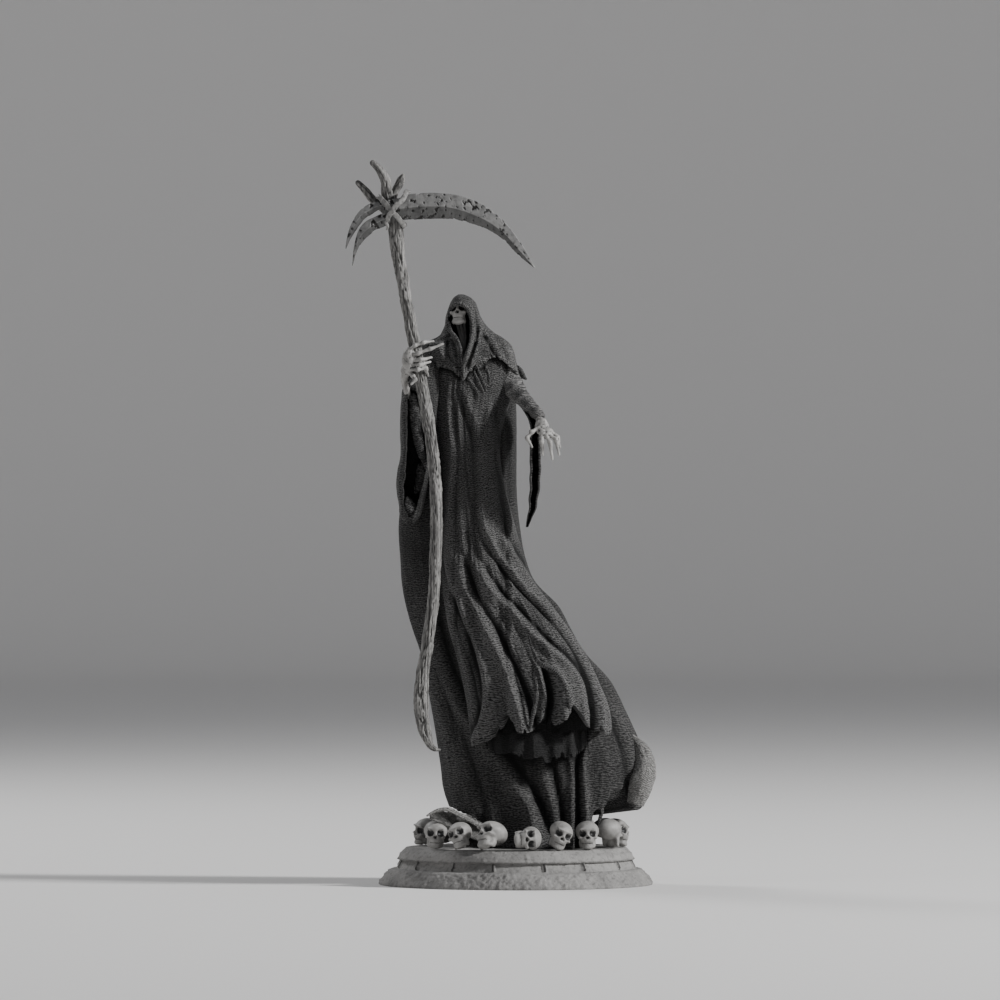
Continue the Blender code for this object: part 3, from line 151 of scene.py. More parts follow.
# %% A garment from its stations
def draped(table, hem, back_hem, folds, pleats, columns, rows, power=0.8, opening=None,
           wrinkle=0.3, tatter=0.0, seed=1, dents=0.0, shade=3.0):
    """Points of the rings, and how far each point stands on a ridge or in a valley."""
    theta, share = np.meshgrid(round_turn(columns), np.linspace(0.0, 1.0, rows))
    top = max(station[0] for station in table)
    low = min(station[0] for station in table)
    behind = ease(0.5 + np.sin(theta) * 2.2)
    foot = np.full_like(theta, low)
    if hem:
        for _ in range(14):
            (level,) = along(hem, ring_rows(table, theta, foot, power)[0])
            foot = (foot + level) / 2
    if back_hem:
        wave = back_hem[0] + back_hem[1] * np.sin(theta * back_hem[2] + 0.7)
        foot = foot * (1 - behind) + wave * behind
    if tatter:
        turn_x, turn_y = np.cos(theta), np.sin(theta)
        nick = uneven(turn_x * 22, turn_y * 22, turn_x * 0, seed + 50)
        small = uneven(turn_x * 60, turn_y * 60, turn_x * 0, seed + 51)
        tear = ease((nick - 0.35) / 0.25)
        foot = foot + tatter * (0.35 * small + 0.35 * nick + 1.9 * tear)
    z = foot + (top - foot) * share
    x, y, out_x, out_y = ring_rows(table, theta, z, power)
    count, depth, twist = pleats
    relief = fold_relief(folds, x, z) * (1 - behind)
    fall = (top - z) / (top - low)
    relief += depth * (0.25 + fall) * behind * np.sin(theta * count + twist * fall)
    left, right = along(table, z)[:2]
    strand = (x - left) / (right - left)
    gather = uneven(strand * 13, y / 18, z / 60, seed + 3)
    fine = 1.9 * (0.36 - np.abs(gather))
    fine += uneven(strand * 30, y / 12, z / 34, seed) * 0.8
    fine += uneven(strand * 80, y / 5, z / 12, seed + 1) * 0.35
    fine += uneven(x / 1.8, y / 1.8, z / 0.9, seed + 2) * 0.3
    fine += uneven(x / 0.9, y / 0.9, z / 0.6, seed + 4) * 0.2
    relief = relief + fine * wrinkle * (0.6 + 0.5 * fall)
    if dents:
        relief += dents * uneven(x / 3.6, y / 3.6, z / 3.2, seed + 5)
        relief += dents * 0.5 * uneven(x / 1.7, y / 1.7, z / 1.6, seed + 6)
    facing = 0.25 + 0.75 * np.abs(np.sin(theta))
    x = x + out_x * relief * facing
    y = y + out_y * relief * facing
    if opening:
        rim_left, rim_right, floor = along(opening, z)
        rim_left = rim_left + 0.35 * uneven(z / 2.2, z * 0, z * 0, seed + 60)
        rim_right = rim_right + 0.35 * uneven(z / 2.2, z * 0, z * 0 + 4, seed + 61)
        tops = [station[0] for station in opening]
        inside = ease((x - rim_left) / 0.5) * ease((rim_right - x) / 0.5)
        inside *= ease((max(tops) - z) / 0.8) * ease((z - min(tops)) / 0.8)
        inside *= np.sin(theta) < 0
        y = y + inside * np.maximum(floor - y, 0.0)
        # The inside of the opening is painted dark as shade.
        relief = relief * (1 - 0.5 * inside) - shade * inside
    girth = np.hypot(np.diff(x, axis=1, append=x[:, :1]), np.diff(y, axis=1, append=y[:, :1]))
    around = np.cumsum(girth.mean(axis=0))[None, :] * np.ones_like(z)
    return np.stack([x, y, z, around, z, relief], axis=-1)


def hollow_hem(points, lip, lift):
    ring = points[0]
    middle = ring.mean(axis=0)
    inner = middle + (ring - middle) * (1 - lip)
    inner[:, 2:] = ring[:, 2:]
    inner[:, 2] += lift * 0.3
    deep = middle + (ring - middle) * (1 - 6 * lip)
    deep[:, 3:] = ring[:, 3:]
    deep[:, 2] = ring[:, 2].max() + lift
    return np.concatenate([[deep], [inner], points])


# %% [markdown]
# ## From points to a piece
#
# A mesh made here keeps two helpers for its paint: a map whose units are millimetres of
# cloth, so a weave has its true size, and a value that is high on ridges and low in
# valleys, so dust and wear go where a hand or brush would leave them.


# %% Build and register meshes
def closed_grid(points):
    """Faces of a stack of rings, with a fan at either end."""
    rows, columns = points.shape[:2]
    verts = list(points.reshape(-1, points.shape[-1]))
    faces = []
    for start in range(0, (rows - 1) * columns, columns):
        for column in range(columns):
            a, b = start + column, start + (column + 1) % columns
            faces.append((a, b, b + columns, a + columns))
    for row, forward in ((0, False), (rows - 1, True)):
        hub = len(verts)
        verts.append(points[row].mean(axis=0))
        for column in range(columns):
            a = row * columns + column
            b = row * columns + (column + 1) % columns
            faces.append((a, b, hub) if forward else (b, a, hub))
    return np.array(verts), faces


def note(mesh, name, values, kind="FLOAT", field="value"):
    """Keeps a value for each vertex of a mesh."""
    mesh.attributes.new(name, kind, "POINT").data.foreach_set(field, np.ravel(values))


def turned_outward(mesh, joined_within=0.0):
    """Turns the faces of a closed mesh outward and counts the edges left open."""
    bm = bmesh.new()
    bm.from_mesh(mesh)
    if joined_within:
        bmesh.ops.remove_doubles(bm, verts=bm.verts, dist=joined_within)
    bmesh.ops.recalc_face_normals(bm, faces=bm.faces)
    open_edges = sum(1 for edge in bm.edges if not edge.is_manifold)
    bm.to_mesh(mesh)
    bm.free()
    return open_edges


def raw_mesh(name, forms):
    """One mesh in millimetres out of closed forms."""
    verts, faces, helpers = [], [], []
    for form_verts, form_faces in forms:
        form_verts = np.asarray(form_verts, float)
        start = len(verts)
        verts += [tuple(vert[:3]) for vert in form_verts]
        extra = np.zeros((len(form_verts), 3))
        if form_verts.shape[1] > 3:
            extra = form_verts[:, 3:6]
        helpers.append(extra)
        faces += [tuple(index + start for index in face) for face in form_faces]
    mesh = bpy.data.meshes.new(name)
    mesh.from_pydata(verts, [], faces)
    helpers = np.concatenate(helpers)
    lay = mesh.uv_layers.new(name="cloth map")
    index = np.zeros(len(mesh.loops), int)
    mesh.loops.foreach_get("vertex_index", index)
    lay.data.foreach_set("uv", (helpers[index, :2] * 0.01).ravel())
    note(mesh, "stands out", np.clip(helpers[:, 2] * 0.3 + 0.5, 0, 1))
    turned_outward(mesh)
    return mesh


def loose(name, data):
    obj = bpy.data.objects.new(name, data)
    bpy.context.scene.collection.objects.link(obj)
    return obj


def finish_piece(name, mesh, material, nodes):
    """Turns a mesh in millimetres into a piece of the figurine."""
    mesh.name = name
    mesh.transform(Matrix.Scale(MM, 4))
    mesh.materials.clear()
    mesh.materials.append(material)
    mesh.polygons.foreach_set("use_smooth", [True] * len(mesh.polygons))
    piece = loose(name, mesh)
    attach(piece, "root")
    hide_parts(*nodes)
    mesh.calc_loop_triangles()
    print(name, "triangles:", len(mesh.loop_triangles))


def sewn(name, forms, material):
    """A piece of cloth on the draped figure."""
    finish_piece(name, raw_mesh(name, forms), material, ["draped_figure"])


# %% [markdown]
# ## Edges between garments
#
# Where one garment ends above another, the lower one is cast a step deeper and a painted
# shadow darkens it under the edge, while the edge itself gets a painted highlight. Both
# helpers change only how far the points count as standing out.


# %% Painted shadow under an edge, painted highlight on the edge
def edge_distance(cloth, hem):
    level = np.interp(cloth[..., 0], [point[0] for point in hem], [point[1] for point in hem])
    within = (cloth[..., 0] > hem[0][0]) & (cloth[..., 0] < hem[-1][0]) & (cloth[..., 1] < 2.0)
    return level - cloth[..., 2], within


# Painted shadow: darkens the cloth just below an edge that hangs over it.
def painted_shadow_under(cloth, hem, reach=1.6, strength=2.4):
    below, within = edge_distance(cloth, hem)
    cloth[..., 5] -= strength * within * np.exp(-np.maximum(below, 0) / reach) * (below > -0.8)


# Painted highlight: lightens the cloth along its own edge.
def painted_edge_highlight(cloth, hem, reach=0.7, strength=1.1):
    below, within = edge_distance(cloth, hem)
    cloth[..., 5] += strength * within * np.exp(-((below + 0.3) / reach) ** 2)


# %% [markdown]
# ## Painted shade in the creases
#
# Shade is painted into the creases of a casting and left off the raised parts. Where the
# points round a vertex lie above it, the surface is hollow there. The helper measures that
# for every vertex and spreads it a little.


# %% Hollow and raised places
def crease_shade(mesh, rounds, strength):
    places = np.array([vert.co for vert in mesh.vertices])
    normals = np.array([vert.normal for vert in mesh.vertices])
    edges = np.array([edge.vertices[:] for edge in mesh.edges])
    both = np.concatenate([edges, edges[:, ::-1]])
    count = np.maximum(np.bincount(both[:, 0], minlength=len(places)), 1)

    def around(values):
        return np.bincount(both[:, 0], values[both[:, 1]], len(places)) / count

    middle = np.stack([around(places[:, k]) for k in range(3)], axis=-1)
    hollow = ((middle - places) * normals).sum(axis=1)
    for _ in range(rounds):
        hollow = 0.5 * hollow + 0.5 * around(hollow)
    return -hollow * strength


# %% [markdown]
# ## Node recipes
#
# Materials and Geometry Nodes are both trees of nodes. This small helper adds a node and
# feeds its sockets in one line. What a node gives can be added and multiplied like a
# number, and every paint ends with the same darkening of low places and bump: painted
# shade on cloth, bone and hands, dark joints on the stone and rust in the steel's pits.


# %% One line for each node
def arithmetic(operation, swapped=False):
    def act(value, other):
        pair = (other, value) if swapped else (value, other)
        return value.recipe.maths(operation, *pair)
    return act


class Value:
    """What a node gives; the signs of arithmetic turn such values into more nodes."""

    def __init__(self, recipe, socket):
        self.recipe, self.socket = recipe, socket

    __add__ = __radd__ = arithmetic("ADD")
    __mul__ = __rmul__ = arithmetic("MULTIPLY")
    __sub__, __rsub__ = arithmetic("SUBTRACT"), arithmetic("SUBTRACT", True)
    __truediv__ = arithmetic("DIVIDE")


def full_colour(shade):
    """Red, green, blue and cover, also out of a single grey value."""
    return (*(shade if isinstance(shade, tuple) else (shade,) * 3), 1.0)


class Recipe:
    def __init__(self, tree):
        self.tree = tree

    def add(self, kind, feeds=None, **settings):
        node = self.tree.nodes.new(kind)
        for name, value in settings.items():
            setattr(node, name, value)
        for socket, value in (feeds or {}).items():
            self.feed(node.inputs[socket], value)
        return node

    def feed(self, socket, value):
        if isinstance(value, Value):
            self.tree.links.new(value.socket, socket)
        else:
            socket.default_value = value

    def out(self, kind, feeds=None, output=0, **settings):
        return Value(self, self.add(kind, feeds, **settings).outputs[output])

    def maths(self, operation, *values):
        return self.out("ShaderNodeMath", dict(enumerate(values)), operation=operation)

    def vector(self, operation, first, second):
        return self.out("ShaderNodeVectorMath", {0: first, 1: second}, operation=operation)

    def parts(self, vector):
        node = self.add("ShaderNodeSeparateXYZ", {0: vector})
        return [Value(self, socket) for socket in node.outputs]

    def between(self, value, low, high, first=0.0, last=1.0, kind="LINEAR"):
        feeds = {0: value, 1: low, 2: high, 3: first, 4: last}
        return self.out("ShaderNodeMapRange", feeds, interpolation_type=kind)

    def ramp(self, value, *stops):
        node = self.add("ShaderNodeValToRGB", {0: value})
        band = node.color_ramp.elements
        band[0].position, band[-1].position = stops[0][0], stops[-1][0]
        for place, _ in stops[1:-1]:
            band.new(place)
        for element, (_, shade) in zip(band, stops):
            element.color = full_colour(shade)
        return Value(self, node.outputs[0])

    def noise(self, vector, scale, detail=3.0, rough=0.55):
        feeds = {"Vector": vector, "Scale": scale, "Detail": detail, "Roughness": rough}
        return self.out("ShaderNodeTexNoise", feeds)

    def stretched(self, vector, scale):
        return self.out("ShaderNodeMapping", {0: vector, 3: scale})

    def blend(self, kind, share, first, second):
        feeds = {0: share, 6: first, 7: second}
        return self.out("ShaderNodeMix", feeds, 2, data_type="RGBA", blend_type=kind)


class Paint(Recipe):
    """The recipe of a material that darkens what lies low and bumps its surface."""

    def __init__(self, name, roughness):
        self.material = bpy.data.materials.new(name)
        self.material.use_nodes = True
        super().__init__(self.material.node_tree)
        self.shader = self.tree.nodes["Principled BSDF"].inputs
        self.shader["Roughness"].default_value = roughness
        self.spot = self.out("ShaderNodeTexCoord", output="Object")
        self.stands = self.out("ShaderNodeAttribute", output="Fac", attribute_name="stands out")

    def laid(self, colour, low_shade_and_stain, height, strength, distance):
        black_below, clear_above, dark = low_shade_and_stain
        # Darkens low places: painted shade in the valleys, hollows and creases of cloth, bone and
        # hands; dark joints on the stone and rust in the steel's pits.
        sunk = self.ramp(self.stands, (black_below, 0.0), (clear_above, 1.0))
        self.feed(self.shader["Base Color"], self.blend("MIX", sunk, full_colour(dark), colour))
        bump = {"Strength": strength, "Distance": distance, "Height": height}
        self.feed(self.shader["Normal"], self.out("ShaderNodeBump", bump))
        return self.material


# %% [markdown]
# ## Charcoal cloth
#
# The robe is moulded with a coarse weave like sackcloth and painted charcoal, with paler
# dust dry-brushed over the ridges and a painted highlight on them. The map in millimetres
# gives the ribs of the weave their true size. Ribs run across the drape and noise breaks them
# into dashes and tufts, which reads as hand-woven cloth. The value on ridges mixes in the
# paler dust and painted highlight, and painted shade darkens the valleys.


# %% Cloth paint
def cloth_paint(name, rib, dark, pale, ridge_dust_and_highlight, rough=1.0):
    paint = Paint(name, 0.88)
    lay = paint.out("ShaderNodeUVMap", uv_map="cloth map")
    wobble = paint.out("ShaderNodeTexNoise", {"Vector": lay, "Scale": 30.0, "Detail": 3.0}, 1)
    shifted = paint.vector("MULTIPLY", wobble, (0.035, 0.035, 0.0))
    across, down, _ = paint.parts(paint.vector("ADD", lay, shifted))
    turns = 2 * math.pi / (rib * 0.01)
    ribs = paint.maths("SINE", down * turns)
    cords = paint.maths("SINE", across * (turns * 0.7))
    dashes = paint.noise(paint.stretched(lay, (85.0, 150.0, 1.0)), 1.0, 2.0, 0.6)
    tufts = paint.noise(paint.stretched(lay, (105.0, 160.0, 1.0)), 1.0, 4.0, 0.75)
    height = (ribs * 0.3 + 0.5) * dashes + cords * 0.04 + tufts * 1.5
    cloud = paint.noise(paint.spot, 55.0, 4.0)
    # Pale specks on the raised weave, more of them on the ridges: dust and painted highlight.
    worn = paint.between(height, 0.80, 1.22) * (cloud * 1.2 + 0.3)
    worn = worn * (paint.stands * ridge_dust_and_highlight + 0.15)
    colour = paint.ramp(worn, (0.06, dark), (0.95, pale))
    print(name, "rib width in mm:", rib)
    return paint.laid(colour, (0.02, 0.34, 0.002), height, 1.0, 0.0008 * rough)


robe_cloth = cloth_paint("robe cloth", 0.85, 0.005, (0.15, 0.148, 0.146), 1.5)
cloak_cloth = cloth_paint("cloak cloth", 0.95, 0.004, (0.11, 0.108, 0.106), 1.3)
hood_cloth = cloth_paint("hood cloth", 0.7, 0.006, (0.17, 0.168, 0.165), 1.6)
arm_cloth = cloth_paint("arm cloth", 0.7, 0.02, (0.26, 0.255, 0.25), 1.4, 0.6)
shadow_cloth = cloth_paint("shadow cloth", 0.9, 0.002, 0.022, 1.0)
lining_cloth = cloth_paint("lining cloth", 0.7, (0.07, 0.068, 0.065), (0.33, 0.325, 0.315), 1.2,
                           0.3)

# %% [markdown]
# ## Bone, stone, wood and steel
#
# Bone is smooth and pale, with painted shade in its hollows. Stone is pale, pitted and
# stained in its joints. Weathered wood has long dark lines between raised fibres. The blades
# are mid grey with black rust pits, and their lower ground face is painted darker as shade.
# Each paint reads places on the object, so no map is needed.


# %% Bone and strap paint
def bone_paint(name, pale, deep, hollow):
    paint = Paint(name, 0.55)
    cloud = paint.noise(paint.spot, 260.0, 5.0, 0.6)
    grain = paint.noise(paint.spot, 1400.0, 4.0, 0.6)
    colour = paint.ramp(cloud, (0.28, deep), (0.62, pale))
    # hollow is the colour of the painted shade in sockets, creases and other low places.
    return paint.laid(colour, (0.05, 0.5, hollow), grain * 0.5 + cloud, 0.35, 0.0003)


skull_bone = bone_paint("skull bone", (0.32, 0.312, 0.30), (0.17, 0.166, 0.16), 0.018)
# The face's bone paint is a paler copy of the skulls', painted lighter to offset the shade of the
# hood.
face_bone = bone_paint("face bone", (0.40, 0.39, 0.375), (0.20, 0.195, 0.187), 0.008)
hand_bone = bone_paint("hand bone", (0.36, 0.352, 0.338), (0.16, 0.156, 0.15), 0.03)
strap_cloth = bone_paint("strap cloth", (0.27, 0.265, 0.256), (0.13, 0.127, 0.123), 0.03)


# %% Stone, wood and steel paint
def stone_paint():
    paint = Paint("plinth stone", 0.82)
    broad = paint.noise(paint.spot, 45.0, 6.0, 0.6)
    fine = paint.noise(paint.spot, 620.0, 5.0, 0.65)
    colour = paint.ramp(broad, (0.3, (0.15, 0.147, 0.143)), (0.66, (0.31, 0.303, 0.293)))
    specks = paint.ramp(fine, (0.34, 0.55), (0.5, 1.0))
    colour = paint.blend("MULTIPLY", 0.75, colour, specks)
    low_shade_and_stain = (0.05, 0.45, (0.02, 0.019, 0.018))
    return paint.laid(colour, low_shade_and_stain, fine * 0.7 + broad, 0.8, 0.0007)


def wood_paint():
    paint = Paint("shaft wood", 0.72)
    fibres = paint.noise(paint.stretched(paint.spot, (1500.0, 1500.0, 26.0)), 1.0, 2.0, 0.5)
    cloud = paint.noise(paint.spot, 90.0)
    colour = paint.ramp(fibres, (0.33, (0.05, 0.049, 0.047)), (0.48, (0.165, 0.161, 0.155)),
                        (0.7, (0.33, 0.323, 0.31)))
    shade = paint.ramp(cloud, (0.3, 0.72), (0.65, 1.0))
    colour = paint.blend("MULTIPLY", 0.8, colour, shade)
    return paint.laid(colour, (0.1, 0.42, (0.03, 0.029, 0.027)), fibres, 0.6, 0.0004)


def steel_paint():
    paint = Paint("blade steel", 0.5)
    paint.shader["Metallic"].default_value = 0.25
    patches = paint.noise(paint.spot, 230.0, 4.0, 0.62)
    spots = paint.noise(paint.spot, 620.0, 3.0, 0.6)
    brushed = paint.noise(paint.stretched(paint.spot, (160.0, 900.0, 900.0)), 1.0)
    metal = paint.ramp(patches, (0.3, (0.15, 0.15, 0.148)), (0.7, (0.27, 0.267, 0.262)))
    metal = paint.blend("MULTIPLY", 0.85, metal, paint.ramp(spots, (0.3, 0.5), (0.5, 1.0)))
    # The lower ground face of the blade is painted darker as shade.
    bevel_shade = paint.ramp(paint.stands, (0.5, 0.42), (0.62, 1.0))
    metal = paint.blend("MULTIPLY", 1.0, metal, bevel_shade)
    low_shade_and_stain = (0.14, 0.3, (0.012, 0.011, 0.010))
    return paint.laid(metal, low_shade_and_stain, brushed * 0.3 + patches, 0.4, 0.0003)


plinth_stone, shaft_wood, blade_steel = stone_paint(), wood_paint(), steel_paint()
print("paints:", [material.name for material in bpy.data.materials if material.use_nodes])

# %% [markdown]
# ## Geometry Nodes from a script
#
# A tree needs its sockets, a modifier that runs it and a way to read the result back as
# a plain mesh. The modifier's inputs are set by each socket's identifier before the
# object is first evaluated. These helpers do that for every tree below.


# %% Make and bake a tree
class Tree(Recipe):
    def __init__(self, name, sockets):
        tree = bpy.data.node_groups.new(name, "GeometryNodeTree")
        for label, kind in {"Geometry": "Geometry", **sockets, "Paint": "Material"}.items():
            tree.interface.new_socket(label, in_out="INPUT", socket_type="NodeSocket" + kind)
        tree.interface.new_socket("Geometry", in_out="OUTPUT", socket_type="NodeSocketGeometry")
        super().__init__(tree)
        start = self.add("NodeGroupInput")
        self.given = {socket.name: Value(self, socket) for socket in start.outputs}

    def attribute(self, name, kind="FLOAT"):
        return self.out("GeometryNodeInputNamedAttribute", {0: name}, data_type=kind)

    def keep(self, geometry, name, value):
        feeds = {"Geometry": geometry, "Name": name, "Value": value}
        return self.out("GeometryNodeStoreNamedAttribute", feeds)

    def push_out(self, geometry, depth):
        normal = self.out("GeometryNodeInputNormal")
        shift = self.out("ShaderNodeVectorMath", {0: normal, 3: depth}, operation="SCALE")
        return self.out("GeometryNodeSetPosition", {0: geometry, 3: shift})

    def end_with(self, geometry):
        real = self.out("GeometryNodeRealizeInstances", {0: geometry})
        painted = self.out("GeometryNodeSetMaterial", {0: real, 2: self.given["Paint"]})
        self.add("NodeGroupOutput", {0: painted})
        return self.tree


def baked(name, source, tree, values):
    """Runs a tree on an object and gives the result as a plain mesh."""
    run = source.modifiers.new(name, "NODES")
    run.node_group = tree
    for item in tree.interface.items_tree:
        if item.in_out == "INPUT" and item.name in values:
            run[item.identifier] = values[item.name]
    return taken_from(source)


def taken_from(source):
    """The evaluated mesh of an object, which is then removed."""
    bpy.context.view_layer.update()
    depsgraph = bpy.context.evaluated_depsgraph_get()
    mesh = bpy.data.meshes.new_from_object(source.evaluated_get(depsgraph))
    bpy.data.objects.remove(source, do_unlink=True)
    return mesh


# %% [markdown]
# ## The stone plinth
#
# The plinth is turned: a flared foot, a band laid as blocks and a slab that overhangs
# them. A profile line swept round a circle follows the same rule, so a Geometry Nodes
# tree sweeps it, sinks the slanting joints of the blocks and chips the surface with
# noise. The joints are a function of the angle, so their number is one named input.

# %% Profile of the plinth
PLINTH_PROFILE = (
    (56.6, 0), (56.6, 1), (54.7, 3.7), (52.4, 6.2), (51.3, 6.7), (50, 6.75), (49.7, 7),
    (47.5, 10.8), (46.9, 10.95), (46.9, 11.15), (48.7, 11.2), (48.1, 13.1), (45.5, 15.4),
)
PLINTH_TOP = 15.4
BLOCK_COUNT = 16.0
corners = [(0.0, 0.0), *PLINTH_PROFILE, (0.0, PLINTH_TOP)]
profile = []
for (r1, z1), (r2, z2) in zip(corners, corners[1:]):
    steps = 5 if 0.0 in (r1, r2) else max(2, int(math.hypot(r2 - r1, z2 - z1) / 0.42))
    for step in range(steps):
        profile.append((r1 + (r2 - r1) * step / steps, z1 + (z2 - z1) * step / steps))
profile.append(corners[-1])
print("profile points:", len(profile))


# %% Tree for the turned blocks
PLINTH_SIDES, SWEEP_RADIUS = 540, 50.0


def plinth_tree():
    tree = Tree("turned blocks", {"Blocks": "Float", "Low": "Float", "High": "Float"})
    line = tree.out("GeometryNodeMeshToCurve", {0: tree.given["Geometry"]})
    circle = {"Resolution": PLINTH_SIDES, "Radius": SWEEP_RADIUS}
    path = tree.out("GeometryNodeCurvePrimitiveCircle", circle)
    swept = tree.out("GeometryNodeCurveToMesh", {0: path, 1: line})
    whole = tree.out("GeometryNodeMergeByDistance", {0: swept, "Distance": 0.002})
    place = tree.out("GeometryNodeInputPosition")
    x, y, level = tree.parts(place)
    angle = tree.maths("ARCTAN2", y, x)
    lean = tree.maths("SINE", angle * 8.0) * -0.045 + 0.439
    turns = angle / (2 * math.pi) * tree.given["Blocks"] + lean
    turns = (tree.noise(place, 0.5, 2.0) - 0.5) * 0.05 + turns
    off = 0.5 - tree.maths("ABSOLUTE", tree.maths("FRACT", turns) - 0.5)
    joint = tree.between(off, 0.018, 0.044, 1.0, 0.0, "SMOOTHSTEP")
    low, high = tree.given["Low"], tree.given["High"]
    band = tree.between(level, low, low + 0.5) * tree.between(level, high, high - 0.5)
    seam = tree.between(level, 10.5, 10.9) * tree.between(level, 11.5, 11.15)
    radius = tree.maths("SQRT", x * x + y * y)
    seam = seam * tree.maths("GREATER_THAN", radius, 46.0)
    sunk = tree.maths("MAXIMUM", joint * band, seam)
    block = tree.maths("FLOOR", turns)
    own = tree.out("ShaderNodeTexWhiteNoise", {"W": block}, noise_dimensions="1D")
    own = (own - 0.5) * band
    foot = tree.between(level, 6.7, 6.0)
    hewn = tree.noise(tree.vector("MULTIPLY", place, (0.42, 0.42, 0.16)), 1.0, 4.0, 0.6)
    hewn = tree.maths("ABSOLUTE", hewn - 0.5) * foot * -4.5
    depth = sunk * -1.0 + own * 0.55 + (hewn + foot * 0.35)
    depth = (tree.noise(place, 1.3, 4.0, 0.6) - 0.5) * 0.55 + depth
    broken = tree.between(tree.noise(place, 0.35, 5.0, 0.62), 0.58, 0.72)
    depth = (broken * -0.5 + depth) * tree.between(level, 0.1, 0.6)
    stands = hewn * 0.22 + (sunk * -0.6 + 0.6)
    return tree.end_with(tree.keep(tree.push_out(whole, depth), "stands out", stands))


# %% Sweep the plinth
edges = [(i, i + 1) for i in range(len(profile) - 1)]
line_mesh = bpy.data.meshes.new("plinth line")
places = [(radius - SWEEP_RADIUS, -height, 0.0) for radius, height in profile]
line_mesh.from_pydata(places, edges, [])
values = {"Blocks": BLOCK_COUNT, "Low": 6.8, "High": 10.9, "Paint": plinth_stone}
mesh = baked("turned blocks", loose("plinth line", line_mesh), plinth_tree(), values)
heights = np.array([vert.co for vert in mesh.vertices])
print("plinth spans", heights.min(0).round(1), heights.max(0).round(1))


# %% Close the plinth and turn it outward
print("open edges on the plinth:", turned_outward(mesh, 0.002))
finish_piece("stone_plinth", mesh, plinth_stone, ["plinth"])

# %% [markdown]
# ## Skulls
#
# One skull serves for the whole ring and, with a longer chin, for the face. It is the
# sum of a few soft lumps, cranium, brow, cheekbones and jaw, with sockets, nose and
# temples taken away. Rays from inside the head find where that sum has its surface, so
# a ball of fine faces becomes a skull. Teeth are upright ripples below the nose.


# %% The form of a skull
MOUTH, TEETH = -0.275, 66.0
CRANIUM = ((0, 0.06, 0.14), (0.37, 0.47, 0.36))
# Groups of lumps, joined (1) or cut away (-1), on the sides named. Each lump has a
# middle, radii, and the softness of its edge.
LUMPS = (
    (1, (0,), (
        ((0, -0.26, -0.1), (0.235, 0.19, 0.28), 0.09),
        ((0, -0.23, -0.39), (0.215, 0.17, 0.11), 0.05),
        ((0, -0.445, -0.01), (0.03, 0.045, 0.05), 0.03),
        ((0, -0.35, -0.44), (0.11, 0.05, 0.05), 0.05),
    )),
    (1, (-1, 1), (
        ((0.245, -0.26, -0.075), (0.07, 0.13, 0.055), 0.05),
        ((0.225, -0.08, -0.28), (0.045, 0.1, 0.17), 0.06),
        ((0.15, -0.355, 0.22), (0.13, 0.05, 0.035), 0.06),
    )),
    (-1, (-1, 1), (
        ((0.168, -0.47, 0.072), (0.128, 0.21, 0.132), 0.012),
        ((0.29, -0.29, -0.235), (0.085, 0.15, 0.085), 0.03),
        ((0.44, -0.26, 0.16), (0.08, 0.14, 0.11), 0.07),
        ((0.034, -0.5, -0.09), (0.04, 0.16, 0.055), 0.01),
    )),
    (-1, (0,), (
        ((0, -0.5, -0.04), (0.028, 0.16, 0.055), 0.01),
        ((0, -0.5, MOUTH), (0.17, 0.11, 0.016), 0.01),
    )),
)
# Hollows painted dark as shade: middle, radii, reach, softness and strength.
SHADED_HOLLOWS = (
    ((0.168, -0.36, 0.072), (0.138, 0.13, 0.142), 1.08, 0.3, 1),
    ((0.29, -0.29, -0.235), (0.1, 0.15, 0.1), 1.1, 0.4, 0.75),
    ((0, -0.4, -0.09), (0.07, 0.08, 0.085), 1.05, 0.35, 1),
)


def skull_distance(p):
    def lump(middle, radii):
        scaled = (p - np.array(middle)) / np.array(radii)
        return (np.linalg.norm(scaled, axis=-1) - 1.0) * min(radii)

    form = lump(*CRANIUM)
    for sign, sides, rows in LUMPS:
        for side in sides:
            for (x, y, z), radii, soft in rows:
                first, second = sign * form, lump((side * x, y, z), radii)
                mix = np.clip(0.5 + 0.5 * (second - first) / soft, 0.0, 1.0)
                form = sign * (second * (1 - mix) + first * mix - soft * mix * (1 - mix))
    return form


